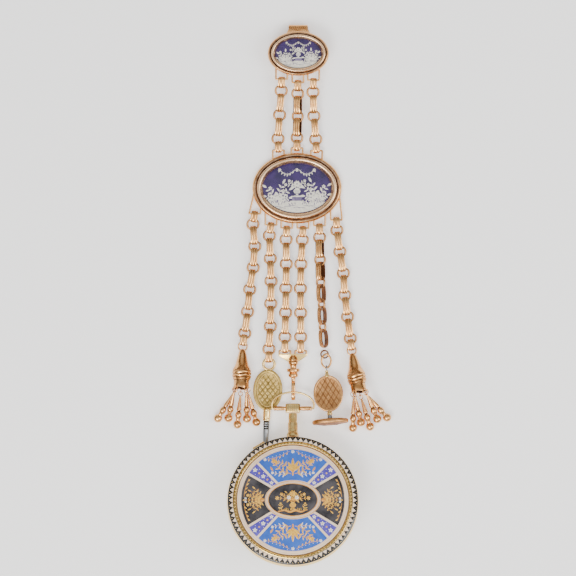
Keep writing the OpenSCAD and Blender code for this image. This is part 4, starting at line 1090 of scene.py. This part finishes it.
def pendant():
    s = Solid(GOLD, GOLD_SHADE, ROSE)
    foot = CASE_D / 2 + 0.6
    up = WATCH @ axial(Y)
    r = STEM_D / 2
    rows = offset(0, r, (0, 0.8), (0.5, 0.8), (1.2, 0.6), (2.0, 0.3), (2.4, 0.25), (5.6, 0.25), (5.9, 0.2),
                  (6.3, 0), (8, 0), (REACH - foot - 2.4, -0.02))
    s.lathe(WATCH_AT + WATCH @ [0, foot, 0], up, smooth_rows(rows), 96,
            wave=lambda i, a: (-0.12 * (0.5 + 0.5 * np.cos(12 * a)) ** 3, 0))
    t = angles(24) + pi / 24
    x, z = PENDANT_W / 2 * spow(np.cos(t), 0.42), BAR_D * 0.9 * spow(np.sin(t), 0.42)
    s.skin([place(np.column_stack([k * x, np.full(24, REACH + q * BAR_D), k * z]), WATCH_AT, WATCH)
            for q, k in ((-0.9, 0.93), (-0.8, 1), (0.8, 1), (0.9, 0.93))])
    for x in np.linspace(-0.4, 0.4, 7) * PENDANT_W:
        for side in (-1, 1):
            line = [(x, REACH + q * BAR_D, side * (0.88 * BAR_D - 0.03 * abs(x))) for q in (-0.7, 0, 0.7)]
            s.tube(place(line, WATCH_AT, WATCH), 0.17, 8)
            # A thin line of the darker yellow gold beside each rib: painted shade.
            s.tube(place(np.add(line, (0.42, 0, -side * 0.06)), WATCH_AT, WATCH), 0.1, 6, mark=1)
    end, r = BAR_L / 2, BAR_D / 2
    rows = smooth_rows(offset(PENDANT_W / 2, 0, (-0.2, 0.9), (0.5, 0.82), (0.8, 0.95))
                       + offset(end, r, (-1.3, -0.02), (-0.9, -0.14), (-0.6, 0), (-0.1, -0.02)))
    rows += [(end, r - 0.15), (end, 0.5), (end - 1.9, 0.5)]
    for side in (-1, 1):
        s.lathe(WATCH_AT + WATCH @ [0, REACH, 0], WATCH @ axial(side * X), rows, 26, mark=2)
    s.build("pendant_knuckle", "watch_pendant", "watch")


swivel()
bow()
pendant()


# Enamel fields
# Watch case and rings
FIT = 0.1
CASE_R = CASE_D / 2
ZIG_IN = CASE_R - ZIGZAG_W
BEAD_IN = ZIG_IN - BEADED_W
TOP_EDGE = BAND_T / 2 - 0.6
DIAL_SEAT, DIAL_T = 1.6, 0.8
HINGE_AT, HINGE_D, HINGE_L = 121, 1.5, 5.6
TEETH, BEADS = 74, 108
FIELD_R, GROOVE_H = 22.1, 0.74


def dome(x, y):
    return BAND_T / 2 + 0.5 + DOME_H * (1 - (x * x + y * y) / (BEAD_IN - FIT / 2) ** 2)


def black_slope(x, y):
    r = hypot(x, y)
    return BAND_T / 2 + float(np.interp(r, [ZIG_IN, CASE_R - 0.4, CASE_R], [0.7, 0.3, -0.1]))


def case():
    s = Solid(GOLD, GOLD_SHADE)
    outer = offset(0, CASE_R, (TOP_EDGE, 0), (1.9, 0.14), (1.4, 0.25), (0.8, 0.38), (0.2, 0.45), (-0.6, 0.4),
                   (-BAND_T / 4, 0.25), (-2.4, -0.3), (-BAND_T / 2, -1.0))
    rows = [(TOP_EDGE, BEAD_IN - 2)] + smooth_rows(outer)
    rows += [(-BAND_T / 2, GLASS_D / 2 + 0.4), (-DIAL_SEAT, GLASS_D / 2 + 0.4), (-DIAL_SEAT, BEAD_IN - 2)]
    s.lathe(WATCH_AT, WATCH, rows, 160, closed=True)
    hinge = WATCH @ turn(2, HINGE_AT)
    middle = WATCH_AT + hinge @ [CASE_R + HINGE_D / 3, 0, 0.2]
    half, r = HINGE_L / 2, HINGE_D / 2
    rows = [(-half, 0.1), (-half, r - 0.12), (-half + 0.12, r)]
    for q in (-half / 3, half / 3):
        rows += [(q - 0.08, r), (q - 0.05, r - 0.14), (q + 0.05, r - 0.14), (q + 0.08, r)]
    rows += [(half - 0.12, r), (half, r - 0.12), (half, 0.1)]
    # The two grooves of the hinge take the darker yellow gold: painted shade.
    s.lathe(middle, axial(hinge @ Y), rows, 24, marks=lambda i, j: 1 if i in (4, 8) else 0)
    s.build("case_band", "watch_case", "watch")


def zigzag():
    s = Solid(BLACK, CREAM, GOLD)
    low, high = TOP_EDGE + FIT, BAND_T / 2
    rows = [(low, ZIG_IN + FIT / 2), (low, CASE_R)]
    rows += offset(high, CASE_R, (-0.1, 0), (0.12, -0.14), (0.3, -0.4), (0.5, -1.3))
    rows += [(high + 0.7, ZIG_IN + FIT / 2)]
    s.lathe(WATCH_AT, WATCH, rows, 3 * TEETH, closed=True)
    s.on(WATCH_AT, WATCH, black_slope)
    step = 360 / TEETH
    for k in range(TEETH):
        a = k * step
        rim = []
        for t in np.linspace(0, 1, 6):
            r = ZIG_IN + 0.1 + t * (ZIGZAG_W - 0.72)
            w = step * 0.47 * (1 - t) + 0.02
            rim.append([polar(r, a - w), polar(r, a), polar(r, a + w)])
        s.slab(rim, 0.05, 1)
        s.dot(polar(CASE_R - 0.62, a + step / 2), 0.16, 2, 0.06, 6)
    s.build("zigzag_border", "zigzag_ring", "watch")


def beading():
    s = Solid(GOLD, GOLD_SHADE, GOLD_SATIN)
    low, high = TOP_EDGE + FIT, BAND_T / 2
    rows = [(low, BEAD_IN + FIT / 2), (low, ZIG_IN - FIT / 2), (high + 0.6, ZIG_IN - FIT / 2)]
    rows += offset(high, ZIG_IN, (0.9, -0.14), (0.98, -0.28), (GROOVE_H, -0.36))
    groove = len(rows) - 1
    rows += offset(high, BEAD_IN, (GROOVE_H, 0.5), (0.98, 0.42), (0.9, 0.2), (0.6, FIT / 2))
    # The groove's floor takes the rougher satin gold, whose darker colour there is painted shade.
    s.lathe(WATCH_AT, WATCH, rows, 2 * BEADS, closed=True, marks=lambda i, j: 2 if i == groove else 0)
    s.on(WATCH_AT, WATCH, high + GROOVE_H)
    mid = (ZIG_IN + BEAD_IN) / 2
    for k in range(BEADS):
        a = 360 * k / BEADS
        s.dot(polar(mid + 0.02, a), 0.27, 0, 0.26, 8)
        # The small domes between the beads take the darker yellow gold: painted shade between the beads.
        s.dot(polar(mid + 0.2, a + 180 / BEADS), 0.2, 1, 0.2, 6)
    s.build("beaded_border", "beaded_ring", "watch")


OVAL_A, OVAL_B, FRAME_W = 10.4, 6.9, 1.25
WEDGE_FROM, WEDGE_TO, STRAP_W = 31, 47, 1.0


def aside(a, side):
    """Angle a, or its mirror image on the left side."""
    return a if side > 0 else 180 - a


def oval_r(a, grow=0.0):
    c, s = cos(radians(a)), sin(radians(a))
    return 1 / hypot(c / (OVAL_A + grow), s / (OVAL_B + grow))


def fan(solid, a0, a1, mark, m=25):
    """Field between the oval's frame and the outer circle, kept half a strap from its two straight sides."""
    grid = []
    for t in np.linspace(0, 1, 9):
        row = []
        for u in np.linspace(0, 1, m):
            r = oval_r(a0 + (a1 - a0) * u, FRAME_W + 0.35) * (1 - t) + FIELD_R * t
            side = degrees(asin(STRAP_W / 2 / r))
            row.append(polar(r, a0 + side + (a1 - a0 - 2 * side) * u))
        grid.append(row)
    solid.slab(grid, 0.04, mark)


def ring_line(solid, r, w, mark, lift):
    solid.stroke([polar(r, a) for a in np.linspace(0, 360, 145)], w, mark, lift)


def oval_line(solid, grow, w, mark, lift):
    solid.stroke([polar(oval_r(a, grow), a) for a in np.linspace(0, 360, 97)], w, mark, lift)


def enamel():
    s = Solid(CREAM, PINK, BLUE, VIOLET, DUSK, LEAF, AMBER, WHITE, ROSE_SHADE, OLIVE)
    r = BEAD_IN - FIT / 2
    rows = [(TOP_EDGE + FIT, 0.01), (TOP_EDGE + FIT, r)]
    rows += [(dome(q, 0), q) for q in r * np.linspace(1, 0.01, 20)]
    s.lathe(WATCH_AT, WATCH, rows, 128)
    s.on(WATCH_AT, WATCH, dome)
    # The outermost line is darker rose gold: painted shade where the enamel meets the beaded border.
    for line in ((r - 0.14, 0.24, 8, 0.08), (r - 0.95, 0.16, 1, 0.05), (FIELD_R + 0.2, 0.16, 1, 0.06)):
        ring_line(s, *line)
    for k in range(2):
        b = 180 * k
        fan(s, WEDGE_TO + b, 180 - WEDGE_TO + b, 2)
        fan(s, b - WEDGE_FROM, b + WEDGE_FROM, 4)
        for a in (WEDGE_FROM, 180 - WEDGE_TO):
            fan(s, a + b, a + b + WEDGE_TO - WEDGE_FROM, 3, 7)
    medallion(s)
    for a in (39, 141, 219, 321):
        wedge_dots(s, a)
    for side in (1, -1):
        blue_motif(s, side)
        dark_motif(s, side)
    s.build("enamel_field", "enamel_panel", "watch")


def medallion(s):
    grid = []
    for t in np.linspace(0.02, 1, 8):
        grid.append([polar(oval_r(a) * t, a) for a in np.linspace(0, 360, 65)])
    s.slab(grid, 0.05, 4)
    for line in ((0.16, 0.3, 6, 0.12), (FRAME_W * 0.55, 0.16, 1, 0.09), (FRAME_W, 0.3, 6, 0.1)):
        oval_line(s, *line)
    stem = (5, 9)
    ground = [[(x, -4.55 + 0.35 * sin(x * 1.3) - d * (1 - (x / 8) ** 2) * 0.9)
               for x in np.linspace(-6.3, 6.3, 22)] for d in (0, 1)]
    s.slab(ground, 0.09, 6)
    for k in range(13):
        x = -5.6 + k * 0.93
        length = 1.0 + 0.35 * sin(k * 1.7) ** 2
        s.leaf((x, -4.7), 90 + 18 * sin(k * 2.1), length, 0.5, 5 if k % 2 else 9, 10, 0.16)
    s.vase((0, -4.3), 1.75, (5, 6))
    for side in (-1, 1):
        for ang, length, curl, bloom in ((28, 6.6, -30, 0.95), (52, 5.6, -34, 0.8), (74, 4.4, -30, 0.0)):
            marks = (5, 6) if bloom else stem
            s.sprig((side * 0.35, -0.9), aside(ang, side), length, side * curl, 3, marks, 0.8, bloom)
        s.sprig((side * 4.6, -4.4), 90 - side * 30, 2.9, side * 40, 2, stem, 0.75, 0.55)
    for p, r, marks, petals in (((0, 2.6), 1.5, (5, 6), 8), ((-1.7, 0.9), 1.0, (7, 6), 6),
                                ((1.7, 0.9), 1.0, (7, 6), 6), ((0, 0.2), 0.9, (6, 5), 6)):
        s.flower(p, r, marks, petals, 0.16)


def wedge_dots(s, a):
    """White flowers and dots that follow the middle of a narrow wedge."""
    low = oval_r(a, FRAME_W + 1.2)
    for i, r in enumerate(np.linspace(low + 0.7, FIELD_R - 1.3, 5)):
        x, y = polar(r, a)
        if i % 2 == 0:
            s.flower((x, y), 0.75 + 0.06 * r / 4, (7, 6), 5, 0.12)
        else:
            s.dot((x, y), 0.4, 5, 0.14, 8)
        for side in (-1, 1):
            spread = 0.055 * r + 0.35
            px, py = polar(r + 1.0, a + side * degrees(spread / r))
            if r + 1.0 < FIELD_R - 0.5:
                s.dot((px, py), 0.17, 7, 0.12, 6)


def blue_motif(s, up):
    """Palmette between two curling sprigs, on the blue fan above or below the medallion."""
    def q(x, y):
        return x, up * y

    for j, ang in enumerate((90, 62, 118, 36, 144)):
        s.leaf(q(0, 12.6), up * ang, 5.6 - 0.55 * j, 1.4, 5, 0, 0.15)
    s.dot(q(0, 12.5), 0.7, 6, 0.2)
    s.flower(q(0, 21.1), 0.8, (7, 6), 6, 0.13)
    s.leaf(q(0, 12.1), -up * 90, 1.7, 0.9, 6, 0, 0.12)
    for side in (-1, 1):
        for x, y, ang, length, curl, pairs, marks, size, bloom in (
                (0.8, 11.4, 10, 9.6, 58, 4, (5, 6), 1.2, 1.25),
                (2.2, 11.2, -4, 6.6, 20, 3, (7, 5), 0.85, 0.7),
                (2.4, 14.2, 56, 5.6, -66, 3, (5, 6), 1.0, 0.95)):
            curl *= up * side
            s.sprig(q(side * x, y), up * aside(ang, side), length, curl, pairs, marks, size, bloom)
        s.leaf(q(side * 8.4, 12.6), up * aside(44, side), 2.2, 0.9, 6, up * side * 30, 0.12)
        hang = [polar(21.3 - 1.5 * sin(pi * t), 90 - side * (4 + 30 * t)) for t in np.linspace(0, 1, 14)]
        s.stroke([q(x, y) for x, y in hang], 0.22, 6, 0.1)
        for x, y in hang[1:-1:2]:
            s.leaf(q(x, y), -up * (90 - side * 20), 1.2, 0.5, 5, 0, 0.12)
            s.dot(q(x * 1.03, y * 1.03), 0.18, 7, 0.12, 6)
        s.flower(q(*hang[-1]), 0.75, (7, 6), 6, 0.13)


def dark_motif(s, side):
    """Tall bunch of wheat-like leaves tied over a festoon, on the dark fan at one side."""
    root = (side * 13.0, 0)
    for j, a in enumerate((0, 22, -22, 44, -44, 68, -68)):
        n = 4 if j < 3 else 3
        bloom = 0.75 if j in (1, 2) else 0
        s.sprig(root, aside(a, side), 6.9 - 0.35 * abs(a) / 22, side * a * -0.35, n, (5, 6), 0.9, bloom)
    s.dot(root, 0.8, 6, 0.22)
    for up in (-1, 1):
        s.stroke([polar(20.9, aside(up * a, side)) for a in np.linspace(4, 26, 12)], 0.24, 6, 0.1)
        for a in (8, 13, 18, 23):
            s.leaf(polar(20.9, aside(up * a, side)), aside(180 - up * 40, side), 1.3, 0.6, 5, 0, 0.12)
        s.flower(polar(20.2, aside(up * 2, side)), 0.6, (7, 6), 5, 0.14)


def glass_z(radius, x):
    return GLASS_C - sqrt(radius ** 2 - x * x)


def hidden_side():
    """Bezel, glass and dial with its numerals and hands, on the side that the watch lies on."""
    lip, top, low = GLASS_D / 2, -BAND_T / 2 - FIT, glass_z(GLASS_R, GLASS_D / 2) - 0.4
    s = Solid(GOLD)
    rows = [(top, lip), (top, CASE_R - 1.5)]
    rows += smooth_rows(offset(top, CASE_R, (-0.2, -1.55), (-0.6, -2.2))
                        + offset(low, lip, (0.25, 1.3), (0, 0.8), (0, 0.2)), 4)
    rows += [(low + 0.1, lip)]
    s.lathe(WATCH_AT, WATCH, rows, 160, closed=True)
    s.build("bezel_polished", "glass_bezel", "watch")
    s = Solid(GLASS)
    q = (lip - FIT) * np.linspace(0.001, 1, 24)
    rows = [(glass_z(GLASS_R, r), r) for r in q] + [(glass_z(GLASS_R - GLASS_T, r), r) for r in q[::-1]]
    s.lathe(WATCH_AT, WATCH, rows, 128)
    s.build("glass_domed", "watch_glass", "watch")

    s = Solid(WHITE, BLACK, BLUED, GOLD)
    back, face = -DIAL_SEAT - FIT, DIAL_SEAT + FIT + DIAL_T
    r = lip - 0.3
    rows = [(back, 0.01), (back, r), (-face + 0.1, r), (-face, r - 0.1), (-face, 0.01)]
    s.lathe(WATCH_AT, WATCH, rows, 128)
    f = WATCH @ turn(1, 180)
    s.on(WATCH_AT, f, face)
    for k in range(60):
        a = 90 + 6 * k
        s.stroke([polar(21.0, a), polar(21.9 if k % 5 else 22.3, a)], 0.18 if k % 5 else 0.4, 1, 0.06)
    for k, text in enumerate(("XII", "I", "II", "III", "IIII", "V", "VI", "VII", "VIII", "IX", "X", "XI")):
        numeral(s, text, 90 - 30 * k)
    s.on(WATCH_AT, f, face + 0.5)
    for a, length, w in ((30, 11.5, 1.5), (150, 17.5, 1.1)):
        s.leaf(polar(1.4, a), a, length - 1.4, w, 2, 0, 0.16)
        s.stroke([polar(-2.5, a), polar(1.8, a)], 0.5, 2, 0.16)
    rows = offset(face, 0, (-0.1, 1.1), (0.8, 1.1), (0.95, 0.8), (0.95, 0.01))
    s.lathe(WATCH_AT, f, rows, 24, mark=3)
    s.build("dial_face", "watch_dial", "watch")


def numeral(solid, text, a):
    """Roman numeral of strokes whose foot points to the dial's middle."""
    widths = {"I": 0.75, "V": 1.7, "X": 1.8}
    along_, across = np.array(polar(1, a)), np.array(polar(1, a - 90))
    x = -sum(widths[c] for c in text) / 2
    for c in text:
        w = widths[c]
        for x0, x1, thick in {"I": [(0.5, 0.5, 0.34)], "V": [(0.12, 0.5, 0.36), (0.88, 0.5, 0.2)],
                              "X": [(0.12, 0.88, 0.36), (0.88, 0.12, 0.2)]}[c]:
            ends = [(x + x0 * w) * across + 19.8 * along_, (x + x1 * w) * across + 16.6 * along_]
            solid.stroke(ends, thick, 1, 0.06)
        x += w


def miniature(name, node, size, at, trees):
    """Domed purple oval with a pale garden in relief: an urn of flowers on a plinth between two plants."""
    a, b = size["w"] / 2 - size["mw"] - FIT, size["h"] / 2 - size["mw"] - FIT
    k = a / 14.9
    low, edge, rise = PLATE_T + FIT, 2.38, 0.36

    def z(x, y):
        return edge + rise * (1 - min(1, (x / a) ** 2 + (y / b) ** 2))

    s = Solid(PURPLE, PALE, MIST)
    t = angles(120)
    rings = [oval_ring(size["w"], size["h"], size["mw"] + FIT, q, 120) for q in (low, edge - 0.08)]
    rings += [np.stack([a * q * np.cos(t), b * q * np.sin(t), edge + rise * (1 - q * q) + 0 * t], 1)
              for q in (0.985, 0.9, 0.75, 0.6, 0.4, 0.2, 0.05)]
    s.skin([r + np.array(at) for r in rings])
    s.on(at, np.eye(3), z)
    far = 0.965

    def shore(x):
        return -0.53 * b + 0.03 * b * sin(x / k * 0.9) + 0.012 * b * sin(x / k * 2.3)

    grid = []
    for q in np.linspace(0, 1, 5):
        row = []
        for u in np.linspace(-0.82, 0.82, 41):
            foot = -b * far * sqrt(1 - (u / 0.985) ** 2)
            row.append((a * u, foot + (max(shore(a * u), foot + 0.05) - foot) * q))
        grid.append(row)
    s.slab(grid, 0.07, 1)
    for i in range(46):
        x = a * (-0.76 + 1.52 * i / 45)
        y = shore(x) - b * (0.04 + 0.11 * (i * 7 % 5) / 4)
        ang = 90 + 34 * sin(i * 2.7)
        s.leaf((x, y), ang, k * (1.3 + 0.5 * sin(i * 1.9) ** 2), 0.5 * k, 1 + i % 2, 12, 0.15)
    for i in range(9):
        x = a * (-0.56 + 1.12 * i / 8)
        y = -b * (0.74 + 0.05 * sin(i * 1.7))
        s.stroke([(x - 1.5 * k, y), (x, y + 0.14 * k), (x + 1.5 * k, y - 0.06 * k)], 0.3 * k, 2, 0.13)
    top = shore(0) + 2.4 * k
    steps = shore(0) - 0.5 * k, shore(0) + 0.3 * k, top - 0.4 * k, top
    for y0, y1, w, mark in zip(steps, steps[1:], (2.7, 2.1, 2.6), (1, 2, 1)):
        s.slab([[(u * w * k, y) for u in (-1, -0.5, 0, 0.5, 1)] for y in (y0, y1)], 0.16, mark)
    s.vase((0, top), 1.9 * k, (1, 2))
    mouth = top + 3.7 * k
    for side in (-1, 1):
        for ang, length, curl, bloom in ((30, 4.6, -34, 0.75), (58, 4.0, -30, 0.7)):
            at = side * 0.5 * k, mouth
            s.sprig(at, aside(ang, side), length * k, side * curl, 2, (1, 2), 0.8 * k, bloom * k)
        s.flower((side * 1.35 * k, mouth + 0.6 * k), 1.15 * k, (1, 2), 6, 0.16)
        root = (side * 8.4 * k, shore(side * 8.4 * k) - 0.2 * k)
        for ang, length, curl in trees:
            s.sprig(root, aside(ang, side), length * k, side * curl, 4, (1, 2), 1.35 * k)
        for ang, r in ((64, 8.8), (50, 9.4), (116, 7.2)):
            tip = np.add(root, polar(r * k * 0.8, aside(ang, side)))
            if (tip[0] / a) ** 2 + (tip[1] / b) ** 2 < 0.7:
                s.flower(tip, 0.9 * k, (1, 2), 5, 0.15)
        hang = [(side * a * u, b * (0.72 - 0.17 * sin(pi * (u - 0.06) / 0.44)))
                for u in np.linspace(0.06, 0.5, 12)]
        s.stroke(hang, 0.3 * k, 1, 0.12)
        for x, y in hang[1::2]:
            s.leaf((x, y), -90 + side * 25, 1.1 * k, 0.5 * k, 1, 0, 0.14)
            s.leaf((x, y), 90 - side * 25, 0.9 * k, 0.4 * k, 2, 0, 0.12)
        s.flower((side * a * 0.5, b * 0.72), 0.75 * k, (1, 2), 6, 0.15)
    s.flower((0, mouth + 1.5 * k), 1.5 * k, (1, 2), 8, 0.18)
    s.flower((0, b * 0.72), 0.8 * k, (1, 2), 6, 0.15)
    s.build(name, node)


case()
zigzag()
beading()
enamel()
hidden_side()
miniature("main_garden_panel", "main_miniature", PLAQUE, (0, 0, 0),
          ((96, 8.6, 20), (70, 8.2, -34), (118, 7.6, 30), (44, 5.4, -30), (140, 5.4, 34)))
miniature("top_garden_panel", "top_miniature", TOP, TOP_AT,
          ((92, 6.4, 0), (66, 6.4, -26), (118, 6.4, 26), (40, 4.8, -24), (142, 4.8, 24)))
